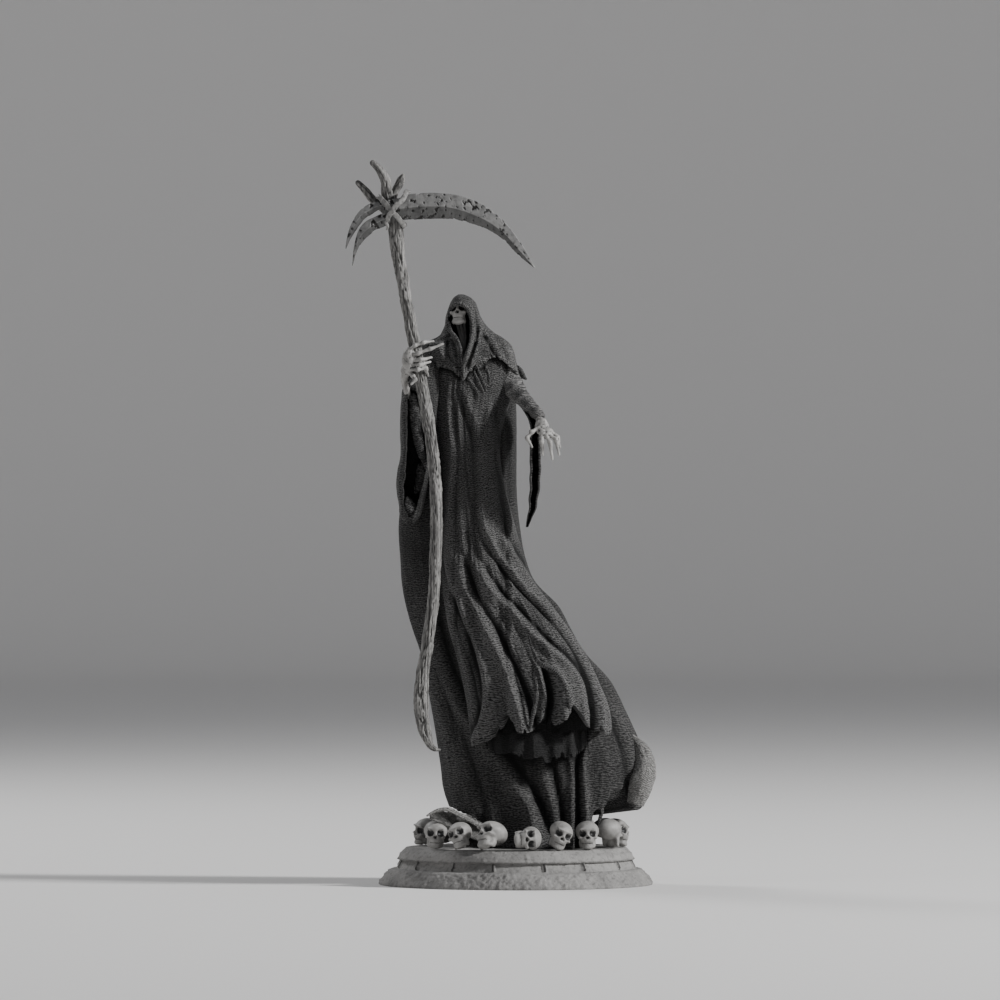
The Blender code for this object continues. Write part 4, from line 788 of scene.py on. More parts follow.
def skull_form(subdivisions):
    bm = bmesh.new()
    bmesh.ops.create_icosphere(bm, subdivisions=subdivisions, radius=1.0)
    rays = np.array([vert.co for vert in bm.verts])
    faces = [tuple(vert.index for vert in face.verts) for face in bm.faces]
    bm.free()
    origin = np.array((0.0, -0.08, -0.02))
    reach = np.full(len(rays), 0.9)
    for _ in range(60):
        reach -= 0.6 * skull_distance(origin + rays * reach[:, None])
        reach = np.clip(reach, 0.05, 0.95)
    at = origin + rays * reach[:, None]
    x, y, z = at.T
    mouth = np.exp(-(((z - MOUTH) / 0.06) ** 4)) * ease((-y - 0.25) / 0.08)
    mouth *= ease((0.19 - np.abs(x)) / 0.03)
    bite = 1 - np.exp(-(((z - MOUTH) / 0.013) ** 2))
    tooth = np.abs(np.sin(x * TEETH))
    reach = reach + mouth * (0.012 * tooth * bite - 0.004)
    crack = np.abs(uneven(x * 3.2, y * 3.2, z * 3.2, 9))
    reach = reach - 0.005 * ease((0.02 - crack) / 0.02) * (z > 0.05)
    reach = reach + 0.005 * uneven(x * 9, y * 9, z * 9, 4)
    gap = np.exp(-(((z - MOUTH) / 0.014) ** 2))
    deep = mouth * np.maximum(gap, 0.45 * (1 - tooth) ** 3)
    for (x, y, z), radii, limit, soft, strength in SHADED_HOLLOWS:
        for side in (-1, 1):
            away = np.linalg.norm((at - (side * x, y, z)) / radii, axis=1)
            deep = np.maximum(deep, strength * ease((limit - away) / soft))
    at = origin + rays * reach[:, None]
    # Eye sockets, cheek hollows, nose and the gaps between the teeth are painted dark as shade.
    relief = 0.6 - 2.6 * deep
    return np.concatenate([at, np.zeros((len(at), 2)), relief[:, None]], axis=1), faces


print("skull points:", len(skull_form(3)[0]))

# %% [markdown]
# ## The ring of skulls
#
# The skulls are copies of one casting, each laid down at its own angle. That is what
# Geometry Nodes instances are for: points carry a place, a turn and a size, the tree
# puts a skull on each, and Realize Instances makes them real.

# %% Places of the skulls
SKULL_SIZE = np.array((1.12, 1.06, 1.0)) * 11.6
SKULLS = (
    (-114, 41, -60, 0, 8, 0.96), (-54, 41, 0, 0, 2, 1), (-34, 41, -24, -8, -20, 1),
    (-14.6, 40.6, -48, -24, -14, 1.14), (6.4, 41.5, 8, 0, 86, 1.02), (26.2, 41, 14, 6, 24, 1),
    (45.6, 41, 2, 0, 0, 1), (69, 41.5, 158, 0, 0, 1.04), (90.5, 41.5, 70, 0, 8, 1),
    (113, 41, 130, -6, 0, 1), (135, 41, 160, 0, 10, 0.97), (156.5, 41, 185, 0, -12, 1),
    (179, 41, 172, -5, 4, 1.04), (201.5, 41, 205, 0, 12, 0.98), (223.5, 41, 215, 0, 0, 1),
)


def head_turn(side, nod, tilt):
    turns = [Matrix.Rotation(math.radians(angle), 3, axis)
             for angle, axis in ((side, "Z"), (nod, "X"), (tilt, "Y"))]
    return turns[0] @ turns[1] @ turns[2]


skull_points, skull_faces = skull_form(5)
skull_points[:, :3] *= SKULL_SIZE
places, turns, sizes = [], [], []
for angle, ring, side, nod, tilt, share in SKULLS:
    matrix = head_turn(side, nod, tilt)
    lowest = (skull_points[:, :3] * share @ np.array(matrix).T)[:, 2].min()
    way = math.radians(angle)
    places.append((ring * math.sin(way), -ring * math.cos(way), PLINTH_TOP + CLEARANCE - lowest))
    turns.append(matrix.to_euler("XYZ"))
    sizes.append(share)
print("skulls in the ring:", len(places))


# %% Tree for the ring of skulls
def ring_tree():
    tree = Tree("laid skulls", {"Skull": "Object"})
    skull = tree.out("GeometryNodeObjectInfo", {0: tree.given["Skull"]}, "Geometry")
    turn = tree.out("FunctionNodeEulerToRotation", {0: tree.attribute("turn", "FLOAT_VECTOR")})
    size = tree.attribute("size")
    scale = tree.out("ShaderNodeCombineXYZ", {0: size, 1: size, 2: size})
    feeds = {"Points": tree.given["Geometry"], "Instance": skull, "Rotation": turn, "Scale": scale}
    return tree.end_with(tree.out("GeometryNodeInstanceOnPoints", feeds))


# %% Lay the skulls
one_skull = loose("one skull", raw_mesh("one skull", [(skull_points, skull_faces)]))
lighter = one_skull.modifiers.new("Lighter", "DECIMATE")
lighter.ratio = 0.6
spots = bpy.data.meshes.new("skull spots")
spots.from_pydata(places, [], [])
note(spots, "turn", turns, "FLOAT_VECTOR", "vector")
note(spots, "size", sizes)
mesh = baked("laid skulls", loose("skull spots", spots), ring_tree(),
             {"Skull": one_skull, "Paint": skull_bone})
bpy.data.objects.remove(one_skull, do_unlink=True)
skull_nodes = [f"skull_{number:02d}" for number in range(1, len(SKULLS) + 1)]
finish_piece("skull_ring", mesh, skull_bone, skull_nodes)

# %% [markdown]
# ## Tubes
#
# Fingers, neck strands, torn threads and branches are all tubes along a smooth path. A
# ring of points is carried along the path without twisting, and its size is read from
# the radius given at each point of the path.


# %% A tube along a path
def read_path(path, values, steps):
    """Even points, values and directions along a smooth path."""
    spread = np.linspace(0, len(path) - 1, (len(path) - 1) * steps + 1)
    table = [(i, *point, value) for i, (point, value) in enumerate(zip(path, values))]
    *line, read = along(table, spread)
    line = np.stack(line, axis=-1)
    tangent = np.gradient(line, axis=0)
    return line, read, tangent / np.linalg.norm(tangent, axis=1, keepdims=True)


def tube(path, radii, sides=12, steps=6, flat=1.0, worn=0.0):
    line, radius, tangent = read_path(path, radii, steps)
    run = np.concatenate([[0], np.cumsum(np.linalg.norm(np.diff(line, axis=0), axis=1))])
    across = np.cross(tangent[0], (0.31, 0.95, 0.05))
    turn = round_turn(sides)
    rings = []
    for i in range(len(line)):
        across = across - tangent[i] * across.dot(tangent[i])
        across /= np.linalg.norm(across)
        other = np.cross(tangent[i], across)
        ring = np.outer(np.cos(turn), across) + np.outer(np.sin(turn), other) * flat
        at = line[i] + ring * radius[i]
        relief = worn * (uneven(*(at.T / 1.6), 3) + 0.5 * uneven(*(at.T / 0.8), 4))
        round_run = np.abs(turn - math.pi) * radius[i]
        extra = np.stack([round_run, turn * 0 + run[i], relief * 3.0], axis=-1)
        at = line[i] + ring * (radius[i] + relief)[:, None]
        rings.append(np.concatenate([at, extra], axis=1))
    ends = []
    for i, way in ((0, -1.0), (-1, 1.0)):
        ring = rings[i].copy()
        ring[:, :3] = line[i] + (ring[:, :3] - line[i]) * 0.55 + way * tangent[i] * radius[i] * 0.7
        ends.append(ring)
    return closed_grid(np.array([ends[0], *rings, ends[1]]))


def ball(middle, radii, columns=20, rows=11):
    rise = np.linspace(-math.pi / 2, math.pi / 2, rows + 2)[1:-1]
    turn, rise = np.meshgrid(round_turn(columns), rise)
    unit = np.stack([np.cos(rise) * np.cos(turn), np.cos(rise) * np.sin(turn), np.sin(rise)], -1)
    return closed_grid(np.array(middle) + unit * np.array(radii))


# %% [markdown]
# ## The scythe's shaft
#
# The shaft is an old branch: it bends, bulges and ends in three broken stubs, and its
# bark has long twisting grooves. The grooves are a field of noise stretched along the
# run of the branch and wrapped round it, so they never show a seam.

# %% The shaft's run
SHAFT = (
    ((-52.9, -19, 284.7), 2.3), ((-51.3, -19, 280.5), 2.9), ((-50, -19.1, 274.7), 3.2),
    ((-49.4, -19.3, 268.5), 3), ((-48.2, -19.7, 258.1), 2.65), ((-46.4, -20.1, 247.8), 2.5),
    ((-43, -21, 229.5), 2.55), ((-40.7, -21.6, 217.5), 2.5), ((-38.2, -22.2, 202.9), 2.45),
    ((-35.6, -23, 188.4), 2.45), ((-33.4, -23.8, 169.7), 2.5), ((-32.8, -24.6, 151.1), 2.5),
    ((-33.2, -25.4, 134.5), 2.45), ((-34.1, -26.2, 117.9), 2.4), ((-36.3, -27, 101.3), 2.45),
    ((-38.4, -27.6, 88), 2.65), ((-39.2, -28.2, 75.5), 3.05), ((-37.9, -28.6, 65.6), 2.6),
    ((-35.9, -28.8, 59.8), 1.8), ((-33.8, -28.9, 57.1), 1.1), ((-31.3, -28.8, 56.6), 0.5),
)
STUBS = (
    (((-51.9, -18.6, 278.1), 2.1), ((-55.2, -17.8, 280.5), 1.9), ((-58.9, -17.2, 283.2), 1.7),
     ((-62.2, -17.2, 287.2), 1.5), ((-65.4, -17.4, 290.5), 1.1)),
    (((-51.9, -19, 281), 2.5), ((-53.3, -19.6, 286.8), 2.3), ((-54, -20.2, 291.7), 2.1),
     ((-56.4, -20.8, 295.9), 1.7), ((-59.3, -21.2, 298.6), 1.15)),
    (((-51.5, -18.6, 282.2), 1.8), ((-50.2, -17.8, 286.3), 1.5), ((-48.3, -17.4, 289.7), 1.9),
     ((-47.3, -17.2, 291.7), 1.7), ((-46.7, -17.2, 293.2), 1.1)),
)
points, thick, edges = [], [], []
for pairs in (SHAFT, *STUBS):
    table = [(i, *point, radius) for i, (point, radius) in enumerate(pairs)]
    spread = np.linspace(0, len(pairs) - 1, (len(pairs) - 1) * 10 + 1)
    x, y, z, radius = along(table, spread)
    start = len(points)
    points += list(zip(x, y, z))
    thick += list(radius)
    run_out = np.array(points[-1]) - np.array(points[-2])
    run_out /= np.linalg.norm(run_out)
    for share, size in ((0.45, 0.8), (0.75, 0.4)):
        points.append(tuple(np.array([x[-1], y[-1], z[-1]]) + run_out * share * radius[-1]))
        thick.append(radius[-1] * size)
    edges += [(i, i + 1) for i in range(start, len(points) - 1)]
print("shaft and stubs:", len(points), "points, thickest", round(2 * max(thick), 1), "mm")


# %% Tree for the grooved branch
def branch_tree():
    tree = Tree("grooved branch", {
        "Sides": "Int", "Groove": "Float", "Twist": "Float", "Step": "Float",
    })
    thick = tree.attribute("thick")
    wood = tree.out("GeometryNodeMeshToCurve", {0: tree.given["Geometry"]})
    feeds = {0: wood, "Length": tree.given["Step"]}
    fine = tree.out("GeometryNodeResampleCurve", feeds, mode="LENGTH")
    fine = tree.keep(fine, "run", tree.out("GeometryNodeSplineParameter", output="Length"))
    feeds = {"Resolution": tree.given["Sides"], "Radius": 1.0}
    circle = tree.out("GeometryNodeCurvePrimitiveCircle", feeds)
    share = tree.out("GeometryNodeSplineParameter", output="Factor")
    circle = tree.keep(circle, "way round", share)
    swept = tree.out("GeometryNodeCurveToMesh", {0: fine, 1: circle, 2: thick, 3: True})
    length = tree.attribute("run")
    angle = length * tree.given["Twist"] + tree.attribute("way round") * (2 * math.pi)
    across = tree.maths("COSINE", angle) * thick
    other = tree.maths("SINE", angle) * thick

    def field(broad, long, rough):
        feeds = {0: across * broad, 1: other * broad, 2: length / long}
        place = tree.out("ShaderNodeCombineXYZ", feeds)
        return tree.noise(place, 1.0, 2.0, rough) - 0.5

    def groove(value, depth, width=0.035):
        near = tree.maths("ABSOLUTE", value) / width
        return tree.maths("MAXIMUM", 1.0 - near, 0.0) * depth

    grooves = groove(field(0.8, 60.0, 0.4), -1.0) + groove(field(2.2, 34.0, 0.5), -0.55)
    relief = grooves + (field(0.42, 6.0, 0.5) * 2.0 + 0.12)
    depth = relief * tree.given["Groove"] * tree.maths("MINIMUM", thick / 2.0, 1.2)
    moved = tree.push_out(swept, depth)
    return tree.end_with(tree.keep(moved, "stands out", grooves * 0.5 + 0.55))


# %% Grow the shaft
branch = bpy.data.meshes.new("branch line")
branch.from_pydata(points, edges, [])
note(branch, "thick", thick)
values = {"Sides": 56, "Groove": 0.55, "Twist": 0.028, "Step": 0.55, "Paint": shaft_wood}
mesh = baked("grooved branch", loose("branch line", branch), branch_tree(), values)
print("open edges on the shaft:", turned_outward(mesh, 0.0005))
finish_piece("scythe_branch", mesh, shaft_wood, ["scythe_shaft"])

# %% [markdown]
# ## The blades
#
# The main blade is flat along its back and ground to an edge below a ridge that runs its
# whole length; two shorter blades curl out behind. Old steel is pitted and its edge is
# nicked. Stations give back, ridge and edge; many fine points between them carry the
# pits as real hollows, blackened by their depth.

# %% Stations of the blades
BLADE_Y, BLADE_THICK = -24.0, 1.7
# Thickness from back (0) over ridge (1) to edge (2), as shares of the blade's own.
BEVEL = ((0.0, 0.05, 0.95, 1.0, 1.05, 1.95, 2.0), (0.4, 0.62, 1.45, 1.5, 1.4, 0.25, 0.12))
MAIN_BLADE = (
    ((-54.8, 282.5), (-54.8, 279.2), (-54.8, 275.9)),
    ((-49.8, 283.7), (-49.8, 279.4), (-49.8, 275.2)),
    ((-44.9, 285.2), (-44.9, 279.9), (-44.9, 274.6)),
    ((-39.8, 285.8), (-39.8, 280.5), (-39.8, 275.1)),
    ((-34.6, 286), (-34.6, 280.6), (-34.6, 275.3)),
    ((-29.7, 285.7), (-29.9, 280.5), (-30.3, 275.3)),
    ((-24.9, 285.2), (-25.3, 279.6), (-25.4, 275.1)), ((-20.5, 283.9), (-21, 278.4), (-21, 274)),
    ((-16.3, 282.4), (-16.8, 276.8), (-16.7, 272.8)),
    ((-10.2, 278.8), (-10.9, 273.8), (-10.9, 270.5)), ((-4.1, 273.3), (-4.8, 269.2), (-4.8, 266.3)),
    ((2, 265.4), (1, 262.7), (0.8, 260.5)), ((7.8, 255.3), (7.6, 255.2), (7.4, 255.1)),
)
REAR_BLADES = (
    (((-51.5, 282.8), (-51.5, 280.3), (-51.5, 278.2)),
     ((-56.4, 282.4), (-56, 280.7), (-55.6, 279.3)), ((-60.8, 281.3), (-60, 279), (-59.6, 277)),
     ((-65, 278), (-64.1, 276.3), (-63.1, 274.3)), ((-68.1, 272.8), (-67, 271.8), (-65.8, 270.7)),
     ((-69.7, 267.4), (-69.1, 267), (-68.4, 266.6)), ((-70.3, 263), (-70.1, 262.9), (-70, 262.9))),
    (((-51.5, 278.6), (-51.5, 276.1), (-51.5, 273.7)),
     ((-54.8, 277.6), (-54.2, 275.1), (-53.5, 272.4)),
     ((-58.1, 276.1), (-57.7, 273.4), (-57.3, 270.7)),
     ((-62, 274.1), (-61, 271.2), (-60.2, 268.7)), ((-65, 270.3), (-64.1, 268), (-63.3, 265.6)),
     ((-66.8, 263.7), (-66.3, 262.4), (-65.7, 261.6)),
     ((-67.5, 256.1), (-67.4, 256), (-67.3, 255.9))),
)


def steel_blade(stations, plane, thickness, steps, seed):
    spread = np.linspace(0, len(stations) - 1, steps)
    table = [(i, *back, *ridge, *edge) for i, (back, ridge, edge) in enumerate(stations)]
    back_x, back_z, ridge_x, ridge_z, edge_x, edge_z = along(table, spread)
    run = np.concatenate([[0], np.cumsum(np.hypot(np.diff(edge_x), np.diff(edge_z)))])
    taper = 1.0 - 0.75 * np.clip(spread / (len(stations) - 1) - 0.5, 0, 1) * 2
    nick, small_nick, chip = [
        uneven(run / size, run * 0, run * 0, seed + i) for i, size in enumerate((2.1, 0.6, 1.6))
    ]
    wide = np.clip(np.hypot(back_x - edge_x, back_z - edge_z) / 6.0, 0.0, 1.0)
    bite = (ease((nick - 0.50) / 0.2) * 0.35 + 0.07 * small_nick) * wide
    chip = ease((chip - 0.52) / 0.15) * 0.4 * wide
    rings = []
    across = np.concatenate([np.linspace(0, 1, 17), np.linspace(1, 2, 17)[1:]])
    for i in range(steps):
        knots = (0.0, 1.0, 2.0)
        x = np.interp(across, knots, (back_x[i], ridge_x[i], edge_x[i]))
        z = np.interp(across, knots, (back_z[i] - chip[i], ridge_z[i], edge_z[i] + bite[i]))
        half = thickness / 2 * np.interp(across, *BEVEL) * taper[i]
        turn_x, turn_z = 0.8 * x + 0.6 * z, 0.8 * z - 0.6 * x
        small = uneven(turn_x / 0.45, turn_z / 0.4, x * 0, seed + 4)
        spots = uneven(turn_z / 1.3, turn_x / 1.1, x * 0, seed + 3) + 0.3 * small
        where = 0.12 * uneven(x / 6.0, z / 6.0, x * 0, seed + 5)
        pits = ease((spots + where - 0.58) / 0.12)
        dents = 0.08 * uneven(x / 2.6, z / 2.6, x * 0, seed + 6)
        near = plane - np.maximum(half - 0.26 * pits * taper[i] + dents, 0.10)
        far = plane + np.maximum(half - 0.22 * pits[::-1] * taper[i] + dents, 0.10)
        # The face from ridge to edge counts low, so it is painted darker as shade; a thin line at
        # the ridge counts high.
        face = np.where(across > 1.0, -0.1, 0.9) + 1.2 * (np.abs(across - 0.97) < 0.04)
        front = np.stack([x, near, z, x, z, face - 2.9 * pits], axis=-1)
        behind = np.stack([x, far, z, x, z, 0.9 - 2.6 * pits[::-1]], axis=-1)
        rings.append(np.concatenate([front, behind[::-1]]))
    return closed_grid(np.array(rings))


# %% Forge the blades
blades = [steel_blade(MAIN_BLADE, BLADE_Y, BLADE_THICK, 340, 21)]
for stations, shift, seed in zip(REAR_BLADES, (0.35, -0.25), (31, 41)):
    blades.append(steel_blade(stations, BLADE_Y + shift, BLADE_THICK * 0.8, 120, seed))
finish_piece("steel_blades", raw_mesh("blades", blades), blade_steel, ["scythe_blades"])

# %% [markdown]
# ## The lashing
#
# Two flat strips of cloth cross over the joint of blade and branch and go round behind.
# Each is a loop in a tilted plane, pressed flat, with frayed sides. A loose end hangs below
# the crossing.

# %% Loops of cloth
STRAP_WIDTH, STRAP_THICK = 2.1, 1.1
STRAP_ENDS = (((-44.6, 286.8), (-54.2, 273.5)), ((-56.9, 284.7), (-45.9, 272.3)))
STRAP_FRONT, STRAP_BACK = -26.2, -14.4
LOOSE_END = (
    (-52.7, -23.6, 276.4), (-53.7, -24.6, 274.3), (-52.9, -24.4, 272.2), (-53.3, -23.8, 270.8),
)


def strap_loop(ends, seed, lift=0.0, steps=260, sides=24):
    (x1, z1), (x2, z2) = ends
    middle = np.array(((x1 + x2) / 2, (STRAP_FRONT + STRAP_BACK) / 2, (z1 + z2) / 2))
    slope = np.array((x1 - x2, 0.0, z1 - z2))
    half = np.linalg.norm(slope) / 2
    slope /= np.linalg.norm(slope)
    depth = (STRAP_BACK - STRAP_FRONT) / 2
    back = np.array((0.0, 1.0, 0.0))
    wide = np.cross(slope, back)
    cosine, sine = np.cos(round_turn(sides)), np.sin(round_turn(sides))
    flat = np.sign(cosine) * np.abs(cosine) ** 0.3
    high = np.sign(sine) * np.abs(sine) ** 0.6
    rings = []
    for way in round_turn(steps):
        x, y = math.cos(way), math.sin(way)
        out = slope * x / half + back * y / depth
        out /= np.linalg.norm(out)
        at = middle + slope * x * half + back * y * depth
        slack = 0.5 * uneven(*np.array([[x], [y], [0.0]]) * 2.5, seed)[0]
        ruck = uneven(x * 9 + 0 * flat, y * 9 + 0 * flat, flat * 1.6, seed + 1)
        fray = uneven(x * 40 + 0 * flat, y * 40 + 0 * flat, flat * 3, seed + 2)
        side = flat * STRAP_WIDTH / 2 * (1 + 0.12 * fray) + slack
        rise = high * STRAP_THICK / 2 * (1 + 0.15 * ruck) + 0.12 * ruck + lift * max(0.0, -y)
        ring = at + np.outer(side, wide) + np.outer(rise, out)
        extra = np.stack([side, 0 * side + way * 5, ruck * 1.2], axis=-1)
        rings.append(np.concatenate([ring, extra], axis=1))
    faces = []
    for i in range(steps):
        for k in range(sides):
            near, far, after = i * sides, (i + 1) % steps * sides, (k + 1) % sides
            faces.append((near + k, near + after, far + after, far + k))
    return np.array(rings).reshape(-1, 6), faces


loops = [strap_loop(STRAP_ENDS[0], 51, 0.9), strap_loop(STRAP_ENDS[1], 61)]
loops.append(tube(LOOSE_END, (0.9, 0.8, 0.6, 0.3), 16, 8, 0.6))
finish_piece("lashing_straps", raw_mesh("straps", loops), strap_cloth, ["blade_lashing"])

# %% [markdown]
# ## The hands
#
# Each hand is bones and knuckles with a little dried skin between. Tubes for bones and
# balls for joints are run together by a fine voxel remesh and smoothed, which leaves
# webs where they meet, as the casting has.

# %% Bones of the hands
LEFT_PALM = (((-44.0, -23.5, 217.0), (3.0, 3.2, 5.4)), ((-45.2, -22.5, 212.9), (2.4, 2.2, 2.6)))
LEFT_FINGERS = (
    ((-43.6, -25, 218.7), (-40.3, -26.1, 219.9), (-35.3, -25.6, 221.6), (-30.1, -24.4, 223.7)),
    ((-44, -24.4, 220.8), (-41.5, -25.2, 223.1), (-38.2, -25, 224.3), (-34, -22.6, 224.9)),
    ((-43.6, -25.2, 216.8), (-39.4, -26.3, 217.1), (-34.7, -23.8, 218.2)),
    ((-43.6, -25.2, 215), (-39.8, -26.3, 215), (-35.3, -23.6, 216.4)),
    ((-44.4, -24.6, 213.3), (-40.5, -26.5, 213.1), (-37.1, -25.2, 213.7), (-36.3, -22.6, 210.6)),
    ((-44.8, -24.2, 212.5), (-42.5, -25.2, 210.6), (-41.5, -26, 209), (-43.2, -26.6, 206.9)),
)
LEFT_WRIST = (
    (-44.8, -22.5, 213.3), (-46.1, -19.8, 209.6), (-45.5, -15.2, 205.8), (-44.4, -10.5, 202.1),
)
WRIST_RADII = (2.0, 1.45, 1.35, 1.5)
FINGER_RADIUS, HAND_VOXEL = 0.88, 0.23
RIGHT_PALM = (((10.6, -26.4, 189.7), (2.9, 1.7, 3.6)), ((12.4, -27.2, 187.0), (2.9, 1.5, 2.6)))
RIGHT_FINGERS = (
    ((9.3, -27, 189.2), (6.4, -28.4, 187.4), (4.6, -29, 184.9), (6.6, -29.2, 181.1)),
    ((10.6, -28.2, 186.8), (10.6, -29.2, 183.4), (11, -28.4, 177.8)),
    ((12.4, -28.2, 186.1), (13.9, -29.4, 183), (14.9, -28.6, 176.1)),
    ((13.7, -27.6, 186.5), (16.4, -28.4, 184.1), (17.8, -27.6, 177.9)),
    ((14.3, -27, 187.6), (17, -27.2, 185.3), (18.1, -26, 180.9)),
)
RIGHT_WRIST = ((10.6, -25.6, 190.7), (9.5, -24.0, 192.8), (8.4, -21.8, 194.6))
RIGHT_WRIST_RADII = (1.9, 1.5, 1.35)


def finger_forms(fingers, radius):
    forms = []
    for path in fingers:
        dense, radii = [], []
        for i, (a, b) in enumerate(zip(path, path[1:])):
            dense += [a, tuple((np.array(a) + np.array(b)) / 2)]
            radii += [radius * (1.10 - 0.08 * i), radius * (0.74 - 0.06 * i)]
        forms.append(tube(dense + [path[-1]], radii + [radius * 0.55], 20, 8))
        for i, point in enumerate(path[:-1]):
            knuckle = radius * (1.26 - 0.1 * i)
            forms.append(ball(point, (knuckle,) * 3))
    return forms


def hand_mesh(name, palm, fingers, wrist, radii):
    forms = [ball(middle, size, 28, 17) for middle, size in palm]
    forms += finger_forms(fingers, FINGER_RADIUS * 1.12)
    forms.append(tube(wrist, radii, 20, 8))
    cords = []
    for path in fingers[:-1]:
        a, b = np.array(palm[-1][0]), np.array(path[0])
        cord = (a + (0, -1.0, 0), (a + b) / 2 + (0, -1.3, 0), b + (0, -0.5, 0))
        cords.append(tube(cord, (0.5, 0.55, 0.6), 12, 4))
    source = loose(name, raw_mesh(name, forms + cords))
    joined = source.modifiers.new("Run together", "REMESH")
    joined.mode = "VOXEL"
    joined.voxel_size = HAND_VOXEL
    soft = source.modifiers.new("Soften", "SMOOTH")
    soft.factor = 0.6
    soft.iterations = 4
    mesh = taken_from(source)
    places = np.array([vert.co for vert in mesh.vertices])
    normals = np.array([vert.normal for vert in mesh.vertices])
    skin = 0.12 * uneven(*(places.T / 1.1), 71)
    skin += 0.08 * uneven(*(places.T / 0.5), 72)
    places += normals * skin[:, None]
    mesh.vertices.foreach_set("co", places.ravel())
    # The creases of the hand are painted dark as shade.
    height = 0.5 + skin * 1.2 + crease_shade(mesh, 3, 26.0)
    note(mesh, "stands out", np.clip(height, 0, 1))
    return mesh


mesh = hand_mesh("left hand", LEFT_PALM, LEFT_FINGERS, LEFT_WRIST, WRIST_RADII)
finish_piece("hand_on_shaft", mesh, hand_bone, ["left_hand"])
mesh = hand_mesh("right hand", RIGHT_PALM, RIGHT_FINGERS, RIGHT_WRIST, RIGHT_WRIST_RADII)
finish_piece("hand_hanging", mesh, hand_bone, ["right_hand"])

# %% [markdown]
# ## The face
#
# The same skull, a little narrower, looks up and to the side from the hood. Below it a
# few strands, painted dark as shade inside the hood, stand for the neck.

# %% Face and neck
FACE_CENTRE = (-23.3, -4.0, 237.3)
FACE_HEIGHT = 12.2
FACE_TURN = (-14.0, -14.0, -4.0)
FACE_SHARE = (0.92, 0.84, 0.98)
FACE_CROWN = 0.36
NECK_STRANDS = (
    ((-24.5, -1.2, 234.9), (-24.3, -2.6, 232), (-23, -5, 227), (-21.8, -8.4, 221.6)),
    ((-22.8, -1.2, 234.9), (-22.8, -3, 232), (-22, -5.4, 227), (-21.6, -8.6, 221.6)),
    ((-21.6, -1.2, 234.9), (-21.4, -2.4, 232), (-21, -4.8, 227), (-21.4, -8.4, 221.6)),
)
NECK_RADIUS = 0.62
face_points, face_faces = skull_form(6)
matrix = np.array(head_turn(*FACE_TURN))
crown = np.clip((face_points[:, 2] - 0.08) / 0.25, 0.0, 1.0)
back = np.clip((face_points[:, 1] + 0.2) / 0.3, 0.0, 1.0)
narrow = 1.0 - FACE_CROWN * np.maximum(crown, back)
face_points[:, 0] *= narrow * (1 + 0.12 * ease((-0.2 - face_points[:, 2]) / 0.2))
face_points[:, 1] *= 1.0 - 0.5 * (1.0 - narrow) * (face_points[:, 1] > 0)
face_points[:, :3] = (face_points[:, :3] * FACE_HEIGHT * np.array(FACE_SHARE)) @ matrix.T
face_points[:, :3] += np.array(FACE_CENTRE)
strands = [tube(path, (NECK_RADIUS,) * 4, 16, 10) for path in NECK_STRANDS]
# The neck strands are painted dark as shade.
for verts, _ in strands:
    verts[:, 5] = -0.75
mesh = raw_mesh("face", [(face_points, face_faces), *strands])
finish_piece("hooded_face", mesh, face_bone, ["face_skull"])

# %% [markdown]
# ## The garments
#
# Robe, cloak, hood, short cape and underskirt hang over each other. Each table below
# lists stations down the garment: a height, the left and right edge, then front and
# back, in millimetres. The folds are listed as paths down the cloth with the height and
# width of the ridge at both ends and the side on which its valley lies.

# %% Stations of robe and cloak
CLOAK = (
    (224.1, -32.8, -5, -6, 9), (220.8, -39.4, -2.9, -6.2, 11), (217.5, -44, -1.2, -6.5, 12),
    (212.5, -45.9, -0.8, -6, 12.5), (207.5, -46.5, -0.4, -5.5, 13), (200.9, -46.1, 0, -4, 14),
    (180.1, -45.6, 0.2, -1, 15), (163.5, -47.3, 0.2, 0, 16), (148.2, -48.8, 1.5, 0.5, 17),
    (134.5, -48.1, 4.1, 0.5, 18), (125.3, -47.6, 7.9, 0.5, 19), (115.4, -45.9, 17.4, 0, 20),
    (105.8, -43.2, 22.6, 0, 21), (96.3, -40, 28.2, -1, 22), (84.2, -37.4, 39, -3, 24),
    (71.8, -35.1, 45.4, -6, 26), (59.8, -33.2, 51, -10, 27.5), (49.4, -31.7, 55.6, -13.5, 28),
    (39, -30.3, 55.6, -16.5, 27), (30.7, -27.4, 52.7, -18, 24.5), (15.8, -19.9, 48.1, -19.5, 18),
)
CLOAK_HEM = (
    (-33.2, 34.9), (-28.6, 32.8), (-22.4, 30.3), (-17.4, 27.4), (-13.3, 15.7), (27.4, 15.7),
    (29.9, 20.3), (31.5, 28.6), (34, 32), (36.5, 32.4), (39, 38.2), (42.3, 40.3), (44.4, 39),
    (46.5, 33.6), (51.5, 32), (56.4, 39),
)
ROBE = (
    (223.7, -29.5, -4.6, -9, 8), (217.5, -33.2, -2.1, -11, 9), (209.2, -35.3, -0.8, -12.5, 9.5),
    (200.9, -35.5, -2.1, -12.5, 9.5), (188.4, -34, -5.8, -12, 9), (178, -31.3, -6.6, -12, 8.5),
    (164.3, -30.1, -4.6, -12.5, 8.5), (151.1, -29.9, -1.2, -13.5, 8.5),
    (140.7, -30.3, 1.9, -14.5, 9), (127, -30.7, 6.6, -16.5, 9.5), (113.3, -29, 16.6, -19, 10),
    (99.6, -25.9, 25.3, -22.5, 11), (86.7, -22.4, 32.4, -26.5, 12.5),
    (74.3, -20.1, 37.8, -30, 13.5), (57.7, -18.5, 39.8, -32.5, 14),
)
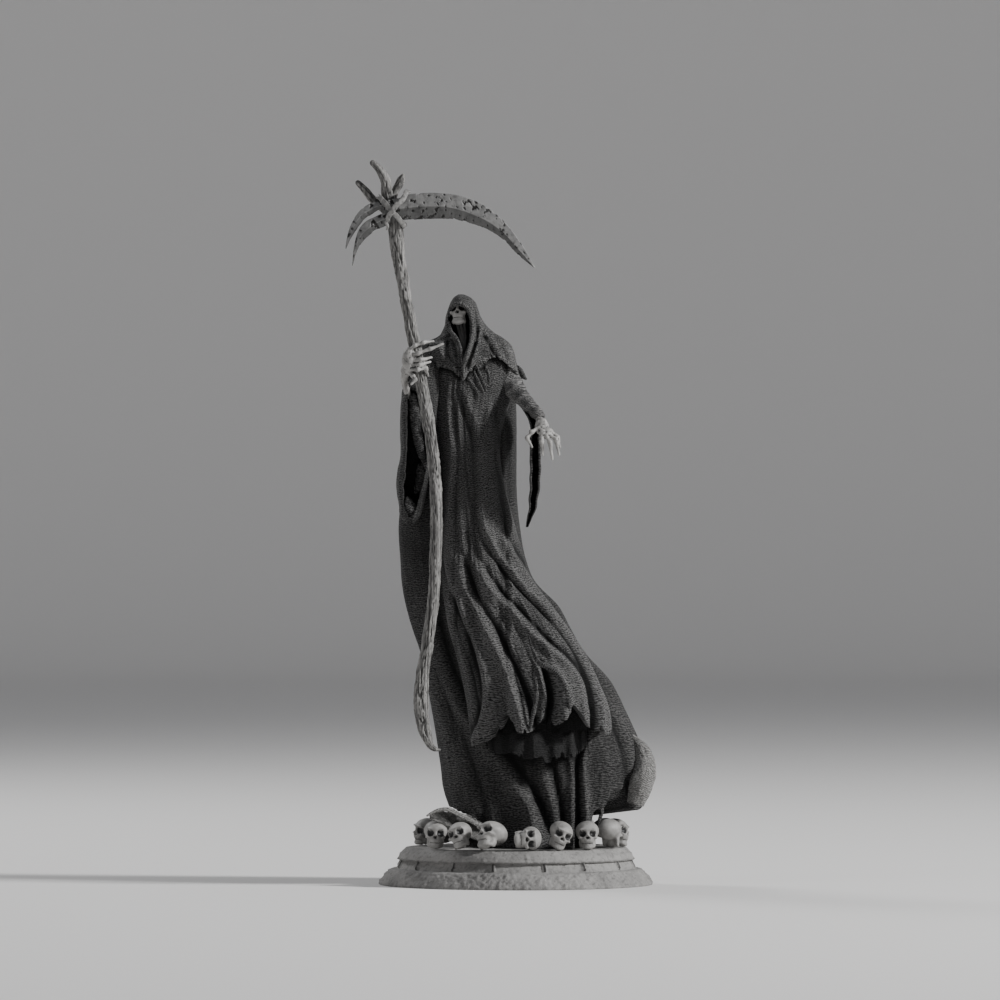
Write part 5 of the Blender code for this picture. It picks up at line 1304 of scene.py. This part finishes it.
ROBE_HEM = (
    (-19.9, 58.5), (-17.4, 58.1), (-11.6, 60.2), (-7.5, 63.5), (-2.9, 71), (-0.4, 65.6),
    (3.3, 63.3), (6.2, 63.9), (10, 67.6), (13.7, 66.4), (18.3, 68.1), (22.8, 72.6), (27.8, 67.2),
    (34, 63.9), (37.8, 62.7), (40.3, 67.2),
)
UNDERSKIRT = (
    (76.4, -14.1, 28.2, -17, 11), (68.9, -13.3, 29, -20, 11.2), (61.4, -12.9, 29.5, -25.5, 11.5),
    (50.6, -12, 29.5, -28.5, 11.5),
)
UNDERSKIRT_HEM = (
    (-12, 57.3), (-7.5, 54.8), (-1.7, 55.2), (3.7, 52.7), (7.9, 53.1), (13.3, 51.3), (18.3, 53.5),
    (23.2, 53.1), (29.9, 58.1),
)

# %% Stations of cape and hood
MANTLE = (
    (233.2, -26.6, -14.9, -5, 8), (229.5, -29.9, -10.4, -8.5, 10), (226.6, -33.4, -5.4, -11, 11),
    (224.1, -39.4, -2.5, -12.5, 12), (221.2, -39.8, -1, -13.5, 12.5),
    (216.6, -36.9, 0, -14.3, 13.5), (212.5, -36.1, 1.5, -14.8, 14.5),
    (208.3, -35.7, 3.3, -15.2, 15.5),
)
MANTLE_HEM = (
    (-39.8, 219.9), (-35.3, 217.5), (-32.4, 214.8), (-27, 213.5), (-23.7, 210.4), (-21.7, 208.7),
    (-19.5, 212.1), (-16.2, 213.1), (-13.3, 215), (-11.6, 217.5), (-7.9, 218.1), (-4.1, 215.8),
    (0, 211.6), (3.3, 209.2),
)
HOOD = (
    (244.7, -23.9, -21.6, -3, 2), (243.8, -25.3, -19.5, -6.5, 4.5), (241.9, -26.8, -17.2, -9, 7),
    (239, -28, -15.8, -10.3, 8.5), (235.3, -29, -14.5, -10.3, 9.3), (231.6, -29.7, -12, -10, 10),
    (227.4, -31.5, -7.5, -10, 10.5), (221.6, -32.4, -5, -10, 10.5),
)
OPENING = (
    (240.7, -25.3, -22.8, -9.5), (239.7, -27, -21, -3.5), (237.4, -27.8, -19.5, 0.5),
    (234.5, -28.2, -18.9, 1), (231.6, -28, -18.6, 0.5), (229.1, -27, -18.6, -1),
    (226.6, -25.3, -18.7, -2.2), (223.7, -24.3, -19.1, -3), (219.9, -23.4, -19.9, -5),
    (215.8, -22.6, -20.8, -8.5), (211.6, -22, -21.4, -14.5),
)

# %% Folds
ROBE_FOLDS = (
    (((205.8, -29), (192.6, -27.4), (178, -26.4), (159.4, -27.4)), 1, 1.2, 1.6, 1.5, 1),
    (((207.5, -24.9), (190.9, -24.1), (175.1, -23.7), (159.4, -22)), 0.8, 0.5, 1.5, 1.8, 1),
    (((206.7, -21.6), (196.7, -18.7), (187.6, -15.4), (179.3, -13.7)), 1.2, 0.7, 1.7, 2.4, -1),
    (((204.2, -12.4), (192.6, -11.2), (180.1, -10), (168.5, -10)), 0.9, 0.6, 1.9, 2.4, 1),
    (((184.3, -8.1), (173.9, -6.2), (163.5, -3.3), (153.1, -1.7)), 0.9, 0.8, 1.2, 1.5, -1),
    (((147.7, -28.6), (136.9, -28.4), (123.7, -25.3), (109.6, -19.5), (97.1, -14.9), (85.5, -11.6),
      (74.3, -11), (60.6, -15.8)),
     0.9, 3, 1.5, 2.6, -1),
    (((126.2, -30.7), (117.9, -29.7), (102.9, -25.1), (89.6, -20.8), (76.4, -18.3), (60.6, -17.4)),
     0.6, 1.6, 1, 1.6, 1),
    (((151.1, -27), (139.9, -25.7), (122, -20.3), (109.6, -13.9), (97.1, -7.5), (85.5, -2.7),
      (76.4, 0.4), (64.7, 3.3)),
     0.9, 4.2, 1.8, 3.3, 1),
    (((146.9, -22.8), (135.3, -18.3), (122, -10), (112.5, -0.8), (102.1, 8.7), (94.2, 17.8),
      (86.3, 23.7), (71.4, 27)),
     0.9, 3.4, 2.2, 3.2, 1),
    (((166, -14.9), (154.4, -14.1), (142.8, -10.8), (129.5, -1.9), (117, 9.5), (109.6, 16.8),
      (100, 24.5), (88.4, 30.9), (77.2, 34.4), (63.9, 34.9)),
     1.2, 3.4, 1.7, 1.8, -1),
    (((163.5, -10), (142.8, -5.4), (129.5, 3.3), (117.9, 12), (106.7, 21.2), (95, 28.6),
      (85.5, 34.4), (75.9, 38.2), (63.9, 39)),
     1.3, 2.2, 2.2, 1.6, 1),
    (((96.3, 7.1), (88, 9.5), (78.8, 11.6), (67.2, 10.4)), 2, 3, 1.4, 1.6, 1),
    (((94.6, 10.4), (89.6, 15.8), (83.8, 18.3), (77.2, 19.7), (68.9, 19.1)), 2.5, 5.2, 2.2, 4.2,
     -1),
)
CLOAK_FOLDS = (
    (((142.8, -37.8), (101.3, -34.9), (76.4, -25.3), (52.7, -7.9), (41.9, -0.8), (31.5, 5.4),
      (18.3, 9.1)),
     0.4, 3.6, 3, 4.2, 1),
    (((76.4, 1.7), (59.8, 8.3), (49.4, 11.2), (39, 13.7), (28.6, 15.4), (18.3, 15.4)), 0.9, 3, 2,
     2.6, 1),
    (((63.9, 21.2), (47.3, 22.8), (18.3, 22.8)), 0.8, 1.8, 1.3, 1.4, 1),
    (((70.1, 32.4), (61.8, 30.3), (54.4, 28.2), (39, 28.2), (18.3, 29)), 1.5, 3.4, 1.2, 1.6, -1),
    (((97.1, 18.3), (76.4, 37.8), (59.8, 46.5), (34.9, 51.5)), 0.5, 1.8, 2, 3, -1),
    (((101.3, -40.7), (76.4, -33.2), (51.5, -24.1), (34.9, -19.1)), 0.5, 1.6, 2.6, 4, 1),
)
MANTLE_FOLDS = (
    (((239, -16.6), (234.9, -15.6), (229.5, -15.2), (223.7, -16.2), (218.3, -17.8), (211.6, -20.3)),
     0.9, 1.1, 0.9, 1, -1),
    (((231.6, -13.3), (226.6, -10.4), (220.8, -7.1), (215, -3.7), (210, -1.7)), 0.8, 1.3, 1.3, 1.8,
     -1),
    (((227.4, -6.6), (221.6, -2.9), (215.8, -0.8)), 0.6, 1, 1.2, 1.6, -1),
    (((229.9, -28.6), (223.7, -31.1), (216.6, -31.5)), 0.5, 0.9, 1.4, 1.8, 1),
    (((221.6, -31.5), (217.5, -28.6), (213.3, -25.3)), 0.5, 0.9, 1.2, 1.6, 1),
)
RIM_FOLDS = (
    (((242.4, -20.8), (239.9, -18.9), (234.9, -17.7), (229.9, -17.3), (224.5, -17.9),
      (219.1, -19.7), (214.1, -21.2), (209.2, -21.8)),
     1.2, 1.5, 0.85, 0.95, 1),
    (((240.7, -27), (235.7, -28.6), (230.7, -28), (227.4, -26.1), (223.3, -24.3), (215, -23)), 0.7,
     0.9, 0.7, 0.8, -1),
)

# %% [markdown]
# ## Sleeves and loose cloth
#
# The left sleeve is held open toward the front, and its mouth is hollow. The right
# sleeve hangs edge on below the forearm. Short flaps and curled corners are strips of
# cloth along a path.

# %% Measures of the sleeves
ARM_PATH = (
    (-9.1, 2, 221.6), (-5.4, 0, 215), (-1.2, -6, 206.7), (3.7, -14, 200.4), (10.2, -23.5, 193.4),
)
ARM_RADII = (3.0, 5.2, 4.8, 3.2, 2.3)
LEFT_SLEEVE = (
    (216.6, -38.2, -31.5, -10, 4), (210.8, -42.3, -31.5, -13, 4), (205.8, -46.7, -31.5, -15.5, 4),
    (200.9, -47.5, -32, -16.5, 4), (188.4, -48, -33.2, -17.5, 4), (177.2, -47.9, -34.9, -18, 4),
    (171.4, -49, -35.7, -18, 4), (163.5, -49.4, -36.9, -17.5, 4), (156.9, -48.3, -38.2, -17, 4),
    (152.3, -47.7, -39.8, -16, 3), (149.8, -45.6, -41.9, -14, 1),
)
LEFT_MOUTH = (
    (205.8, -45, -44.4, -12), (202.5, -45.2, -38.2, -7), (188.4, -44.8, -35.7, -5),
    (171.8, -45.9, -37.4, -5), (161.4, -46.5, -39.8, -6.5), (154.4, -45.6, -41.9, -9),
    (152.3, -44.4, -43.6, -14),
)
# Each strip: its path, its radii, sides, steps, flatness and wear.
LOOSE_CLOTH = (
    (((-42.7, -13, 202.5), (-41.5, -13, 192.6), (-39.8, -13, 181.8), (-37.1, -14, 172.6)),
     (1.6, 2.4, 2, 0.7), 40, 40, 0.6, 0.3),
    (((-39.4, -9.5, 173.5), (-39.2, -9.5, 167.7), (-41.5, -10, 162.7)), (1.6, 2.6, 0.9), 36, 24,
     0.5, 0.25),
    (((-44.8, -12.5, 159.4), (-44, -13, 155.2), (-43.8, -12.5, 151.9)), (2, 3.4, 1.6), 36, 24, 0.8,
     0.25),
    (((5, -24.5, 103.8), (7.1, -26.5, 97.1), (9.1, -29, 93), (12.2, -31, 91.1),
      (15.4, -32.4, 89.4), (18.3, -33.2, 86.3), (20.8, -33.4, 80.9), (22.4, -33.4, 74.3)),
     (0.3, 0.7, 1, 1.1, 1.1, 1.1, 1, 0.7), 28, 16, 0.8, 0.2),
    (((7.1, -28.6, 91.3), (8.1, -31, 84.7), (8.3, -33, 77.6), (6.6, -34, 69.7), (5.4, -33.5, 64.7)),
     (0.4, 0.8, 1, 0.9, 0.6), 24, 16, 0.8, 0.2),
    (((34.9, -9, 33.6), (35.3, -11, 29.9), (34, -12, 25.7), (33.4, -12, 21.6)), (1.6, 1, 0.8, 0.9),
     20, 12, 0.8, 0.2),
)
RIGHT_SLEEVE = (
    (199.2, 2.5, -12, -2, 1.2), (192.6, 7.1, -23, 0, 1.7), (183.8, 8.1, -23.5, -1, 2.1),
    (171.8, 8, -22, -4, 2.2), (161.4, 7.5, -20, -7.5, 1.9), (153.1, 6, -17, -10.5, 1.2),
    (148.2, 4.6, -14, -12.5, 0.5),
)
LEFT_CORNER = (
    (-5, -11, 19.9), (-11.6, -16, 21.6), (-17.4, -19.5, 23.7), (-22.8, -22, 26.1),
    (-27.4, -25, 27.8), (-31.5, -27, 28.8), (-35.3, -28.5, 29),
)
LEFT_CORNER_HALF = (1.5, 2.8, 4.2, 4.0, 3.0, 2.4, 1.0)
LEFT_RIM = (
    (-36.7, -29.5, 29.5), (-32.8, -28.5, 31.5), (-28, -27.5, 32), (-23.7, -25.5, 29.9),
    (-19.1, -22.5, 27.4), (-14.5, -18.5, 24.7), (-10, -13.5, 22.4),
)
LEFT_RIM_RADII = (0.375, 0.75, 0.975, 1.125, 1.125, 1.05, 0.9)
CORNER_BEHIND = (
    (-4.1, -8, 19.1), (-9.1, -12, 19.1), (-14.5, -14, 19.1), (-19.1, -16, 19.9), (-23.2, -18.5, 22),
)
CORNER_BEHIND_HALF = (2.4, 3.4, 3.8, 3.6, 1.6)
RIGHT_CORNER = (
    (47.3, 4, 61.4), (51.9, -1, 55.6), (53.5, -7, 48.1), (51.5, -11, 40.7), (49.4, -11, 33.6),
)
RIGHT_CORNER_HALF = (1.4, 3.4, 4.6, 4.8, 3.6)


# %% Strips and sleeves
def sheet(path, half_widths, arch, thickness, across=25, ragged=0.12, steps=26, seed=80):
    line, half, tangent = read_path(path, half_widths, steps)
    side = np.cross(tangent, (0.0, 1.0, 0.0))
    side /= np.linalg.norm(side, axis=1, keepdims=True)
    over = np.cross(side, tangent)
    turn = np.linspace(-1.0, 1.0, across)
    rings = []
    for i in range(len(line)):
        run = i / steps
        worn = ragged * uneven(np.full(2, run * 5), np.array([0.0, 9.0]), np.zeros(2), seed)
        wide = turn * half[i] * (1 + np.where(turn < 0, *worn) * np.abs(turn) ** 3)
        bend = arch * half[i] * (1 - turn**2)
        fine = 0.22 * uneven(turn * 3.5, run * 2.2 + 0 * turn, 0 * turn, seed + 1)
        fine += 0.10 * uneven(turn * 9, run * 6 + 0 * turn, 0 * turn, seed + 2)
        edge = thickness / 2 * (1 - 0.7 * np.abs(turn) ** 6)
        tone = 0.6 * np.abs(turn) ** 3 - 0.3 + fine * 2
        faces = []
        # The second face of each strip is painted darker as shade.
        for face, shade in ((edge, 0.0), (-edge, 0.6)):
            at = line[i] + np.outer(wide, side[i]) + np.outer(bend + fine + face, over[i])
            faces.append(np.column_stack([at, wide, 0 * wide + run * 8, tone - shade]))
        rings.append(np.concatenate([faces[0], faces[1][::-1]]))
    return closed_grid(np.array(rings))


def right_sleeve_form():
    z = np.linspace(148.2, 199.2, 150)
    rings = []
    for level, x, near, far, wide in zip(z, *along(RIGHT_SLEEVE, z)):
        deep = min(8.0, (far - near) * 0.55)
        lip = wide * 0.42
        near = near + 0.5 * uneven(*np.array([[level / 1.2], [3.0], [0.0]]), 92)[0]
        x = x + 0.35 * uneven(*np.array([[level / 4.0], [0.0], [0.0]]), 91)[0]
        half_way = (near + far) / 2
        section = np.array((
            (x - wide, near), (x - wide + lip * 0.5, near - 0.25), (x - wide + lip, near),
            (x - wide + lip, near + deep), (x + wide - lip, near + deep), (x + wide - lip, near),
            (x + wide - lip * 0.5, near - 0.25), (x + wide, near), (x + wide * 1.05, half_way),
            (x + wide * 0.5, far - 0.6), (x, far), (x - wide * 0.5, far - 0.6),
            (x - wide * 1.05, half_way), (x - wide, near),
        ))
        spread = np.linspace(0, 13, 79)[:-1]
        ring = np.stack([np.interp(spread, np.arange(14), side) for side in section.T], axis=-1)
        weave = uneven(ring[:, 0] / 1.3, ring[:, 1] / 1.6, level / 5.0 + 0 * spread, 93)
        ring = ring + (ring - ring.mean(0)) * (weave * 0.03)[:, None]
        # The inside of the sleeve is painted dark as shade and its front lips get a painted
        # highlight.
        inner = (spread > 2.05) & (spread < 4.95)
        edge = 1.6 * np.exp(-((ring[:, 1] - near) / 0.8) ** 2) * (1 - inner)
        tone = weave * 0.8 + 0.4 + edge - 3.0 * inner
        round_run = np.concatenate([[0], np.cumsum(np.hypot(*np.diff(ring, axis=0).T))])
        height = 0 * spread + level
        rings.append(np.column_stack([ring, height, round_run, height, tone]))
    return closed_grid(np.array(rings))


# %% Sew the robe
robe = draped(ROBE, ROBE_HEM, (64.7, 2.0, 7), ROBE_FOLDS, (8, 1.4, 1.0), 390, 180, 0.9, OPENING,
              0.5, 1.1, 101)
# Painted shadow on the robe under the cape's hem.
painted_shadow_under(robe, MANTLE_HEM)
# Painted highlight on the robe's hem.
painted_edge_highlight(robe, ROBE_HEM)
sewn("torn_robe", [closed_grid(hollow_hem(robe, 0.07, 2.0))], robe_cloth)

skirt = draped(UNDERSKIRT, UNDERSKIRT_HEM, (54.8, 1.5, 8), (), (16, 0.8, 0.5), 260, 50, 0.9, None,
               0.4, 0.8, 111)
skirt[:, :, 1] += 0.9 * np.sin(round_turn(260) * 17) * (skirt[:, :, 2] < 63.9)
# Painted highlight on the underskirt's hem.
painted_edge_highlight(skirt, UNDERSKIRT_HEM)
sewn("underskirt", [closed_grid(hollow_hem(skirt, 0.08, 1.5))], shadow_cloth)

# %% Sew the cloak
cloak = draped(CLOAK, CLOAK_HEM, (), CLOAK_FOLDS, (9, 1.6, 2.0), 330, 200, 0.82, OPENING,
               0.55, 0.8, 121)
cloak[:, :, 2] = np.maximum(cloak[:, :, 2], PLINTH_TOP + CLEARANCE)
# Painted shadow on the cloak under the underskirt's hem.
painted_shadow_under(cloak, UNDERSKIRT_HEM, 3.0)
# Painted highlight on the cloak's hem.
painted_edge_highlight(cloak, CLOAK_HEM)
sewn("long_cloak", [closed_grid(cloak)], cloak_cloth)

# %% Sew the cape and the hood
mantle = draped(MANTLE, MANTLE_HEM, (210.0, 1.8, 7), MANTLE_FOLDS + RIM_FOLDS, (7, 0.6, 0.5),
                300, 80, 0.9, OPENING, 0.35, 0.9, 131, 0.75)
# Painted highlight on the cape's hem.
painted_edge_highlight(mantle, MANTLE_HEM, 0.8, 1.4)
sewn("short_cape", [closed_grid(hollow_hem(mantle, 0.05, 0.6))], hood_cloth)
hood = draped(HOOD, (), (), RIM_FOLDS + MANTLE_FOLDS, (3, 0.3, 0.0), 240, 140, 1.0, OPENING,
              0.25, 0.0, 141, 0.2)
sewn("pointed_hood", [closed_grid(hood)], hood_cloth)


# %% Strips laid on the cloth
def laid_on(cloth, path, lift):
    """Points of a path set on the front of a garment, with a little lift."""
    front = np.concatenate([piece.reshape(-1, piece.shape[-1])[:, :3] for piece in cloth])
    front = front[front[:, 1] < 0.0]
    placed = []
    for x, z in path:
        near = front[np.hypot(front[:, 0] - x, front[:, 2] - z) < 0.9]
        placed.append((x, float(near[:, 1].min()) - lift if len(near) else -10.0, z))
    return placed


def shaded(forms, base, size, seed):
    """Gives loose strips of cloth an uneven tone."""
    for verts, _ in forms:
        verts[:, 5] = base + 0.6 * uneven(*(verts[:, :3].T / size), seed)
    return forms


RIM_ROLL = (
    (-27.4, 235.7), (-27.1, 238.2), (-25.9, 239.9), (-24.1, 240.6), (-22, 240.3), (-20.1, 238.8),
    (-19, 236.5), (-18.3, 233.2), (-18.1, 229.1), (-18.7, 224.5), (-20.1, 219.9), (-21.4, 215.4),
    (-21.7, 210),
)
RIM_RADII = (0.5, 0.7, 0.9, 1.0, 1.0, 1.0, 1.0, 1.05, 1.1, 1.15, 1.1, 0.9, 0.4)
LEFT_ROLL = (
    (-27.6, 233.2), (-27, 229.5), (-25.1, 227), (-23.4, 223.7), (-22.6, 219.1), (-22, 213.3),
)
LEFT_RADII = (0.5, 0.8, 0.8, 0.7, 0.6, 0.4)
CHEST_STRIPS = (
    ((-17.4, 212.9), (-16.2, 210), (-14.7, 206.7), (-13.3, 204.2)),
    ((-15.8, 213.3), (-14.3, 210), (-12.9, 206.7), (-12.4, 204.6)),
    ((-19.9, 210), (-18.3, 207.5), (-16.2, 204.6), (-15.4, 201.3)),
    ((-12.4, 214.1), (-11.2, 211.2), (-10.8, 207.9)),
)
STRIP_RADII = (0.4, 0.7, 0.55, 0.25)
TEARS = (
    (((-0.8, -4, 215.8), (1.7, -5, 212.9), (3.1, -6, 210.6), (4.3, -6.5, 209.4)),
     (0.5, 1.3, 1, 0.3)),
    (((1, -3, 210), (2.5, -6, 207.1), (3.2, -8, 204.2), (3.8, -9, 201.9)), (0.5, 0.8, 0.7, 0.3)),
)
rolls = [tube(laid_on([hood, mantle], path, 0.1), radii, 24, 16, 0.9, 0.18)
         for path, radii in ((RIM_ROLL, RIM_RADII), (LEFT_ROLL, LEFT_RADII))]
sewn("rolled_rim", shaded(rolls, 0.7, 1.5, 171), hood_cloth)
strips = [tube(laid_on([robe], path, 0.05), STRIP_RADII[-len(path):], 16, 12, 0.5, 0.25)
          for path in CHEST_STRIPS]
strips += [tube(path, radii, 16, 12, 0.4, 0.2) for path, radii in TEARS]
sewn("torn_strips", shaded(strips, 1.0, 1.2, 172), hood_cloth)

# %% Sew the sleeves and loose cloth
# The mouth of the left sleeve is painted dark as shade.
sleeve = draped(LEFT_SLEEVE, (), (), (), (4, 0.3, 0.0), 160, 110, 0.8, LEFT_MOUTH, 0.4, 0.0, 151,
                0.2, 1.5)
# The outer edge of the left sleeve is lightened: more dust and painted highlight, less painted
# shade.
sleeve[:, :, 5] += 0.7 * ease((-44.4 - sleeve[:, :, 0]) / 1.5) * (sleeve[:, :, 5] > -0.5)
sewn("sleeves", [closed_grid(sleeve), right_sleeve_form()], cloak_cloth)
arm, arm_faces = tube(ARM_PATH, ARM_RADII, 90, 40)
x, y, z = arm[:, :3].T
rucks = uneven((x + z) / 7.0, (x - z) / 2.2, y / 5.0, 161)
rucks = rucks + 0.5 * uneven(x / 1.6, y / 1.6, z / 1.6, 162)
core_x, core_y, core_z = np.array(ARM_PATH)[::-1].T
out = np.stack([x - np.interp(z, core_z, core_x), y - np.interp(z, core_z, core_y), 0 * z], axis=-1)
out /= np.maximum(np.linalg.norm(out, axis=1, keepdims=True), 0.3)
arm[:, :3] += out * (0.55 * rucks)[:, None]
arm[:, 3:6] = np.stack([(x - y) * 1.2, z, rucks * 1.1 + 0.6], axis=-1)
sewn("forearm", [(arm, arm_faces)], arm_cloth)
sewn("loose_cloth", [tube(*measures) for measures in LOOSE_CLOTH], robe_cloth)
corners = [
    sheet(LEFT_CORNER, LEFT_CORNER_HALF, 0.3, 1.5),
    sheet(RIGHT_CORNER, RIGHT_CORNER_HALF, -0.5, 2.2, 33, 0.03),
    tube(LEFT_RIM, LEFT_RIM_RADII, 28, 18, 0.6, 0.12),
    sheet(CORNER_BEHIND, CORNER_BEHIND_HALF, 0.2, 1.2),
]
rim = corners[2][0]
rim[:, 3:5] = rim[:, 4:2:-1]
# The corner behind is painted darker as shade and the right corner lighter as painted highlight;
# the rim is lightened too.
for (verts, _), tone in zip(corners, (0.0, 1.0, 0.6, -0.8)):
    verts[:, 5] += tone
sewn("turned_corners", corners, lining_cloth)

# %% [markdown]
# ## Light and camera
#
# The picture is taken from the front with a long lens, level with the middle of the
# figure, on a plain pale floor that rises softly to a wide round wall, so that the figure
# can be looked at from every side. Large soft lamps stand high on both sides, the
# stronger one to the right.


# %% Floor and lamps
LAMPS = (
    ("key lamp", (2.05, -0.68, 1.3), 0.35, 86), ("side lamp", (-1.6, -0.9, 0.7), 0.6, 2.5),
    ("back lamp", (-0.9, 0.9, 1.1), 0.5, 10),
)
LAMP_TARGET = Vector((0, 0, 0.15))
floor_paint = Paint("pale backdrop", 0.9)
floor_paint.shader["Base Color"].default_value = (0.80, 0.79, 0.78, 1.0)
rise = [math.pi / 2 * i / 12 for i in range(13)]
line = [(0.65 * i, 0.0) for i in range(6)]
line += [(3.9 + 0.7 * math.sin(angle), 0.7 - 0.7 * math.cos(angle)) for angle in rise]
line.append((4.6, 1.8))
bm = bmesh.new()
spots = [bm.verts.new((radius, 0.0, height)) for radius, height in line]
edges = [bm.edges.new(pair) for pair in zip(spots, spots[1:])]
bmesh.ops.spin(bm, geom=spots + edges, cent=(0, 0, 0), axis=(0, 0, 1), angle=2 * math.pi, steps=96)
backdrop = bpy.data.meshes.new("backdrop")
bm.to_mesh(backdrop)
bm.free()
turned_outward(backdrop, 0.0001)
backdrop.polygons.foreach_set("use_smooth", [True] * len(backdrop.polygons))
backdrop.materials.append(floor_paint.material)
floor = loose("backdrop", backdrop)
for name, place, size, power in LAMPS:
    data = bpy.data.lights.new(name, "AREA")
    data.shape, data.size, data.energy = "DISK", size, power
    obj = loose(name, data)
    obj.location = place
    obj.rotation_euler = (LAMP_TARGET - Vector(place)).to_track_quat("-Z", "Y").to_euler()
world = bpy.data.worlds.new("pale room")
world.use_nodes = True
world.node_tree.nodes["Background"].inputs[0].default_value = (0.9, 0.93, 1.0, 1.0)
world.node_tree.nodes["Background"].inputs[1].default_value = 0.15
bpy.context.scene.world = world

# %% Camera
lens = bpy.data.cameras.new("long lens")
lens.lens, lens.sensor_width = 300.0, 36.0
camera = loose("camera", lens)
camera.location = (-0.0066, -3.458, 0.1594)
camera.rotation_euler = (math.pi / 2, 0.0, 0.0)
bpy.context.scene.camera = camera
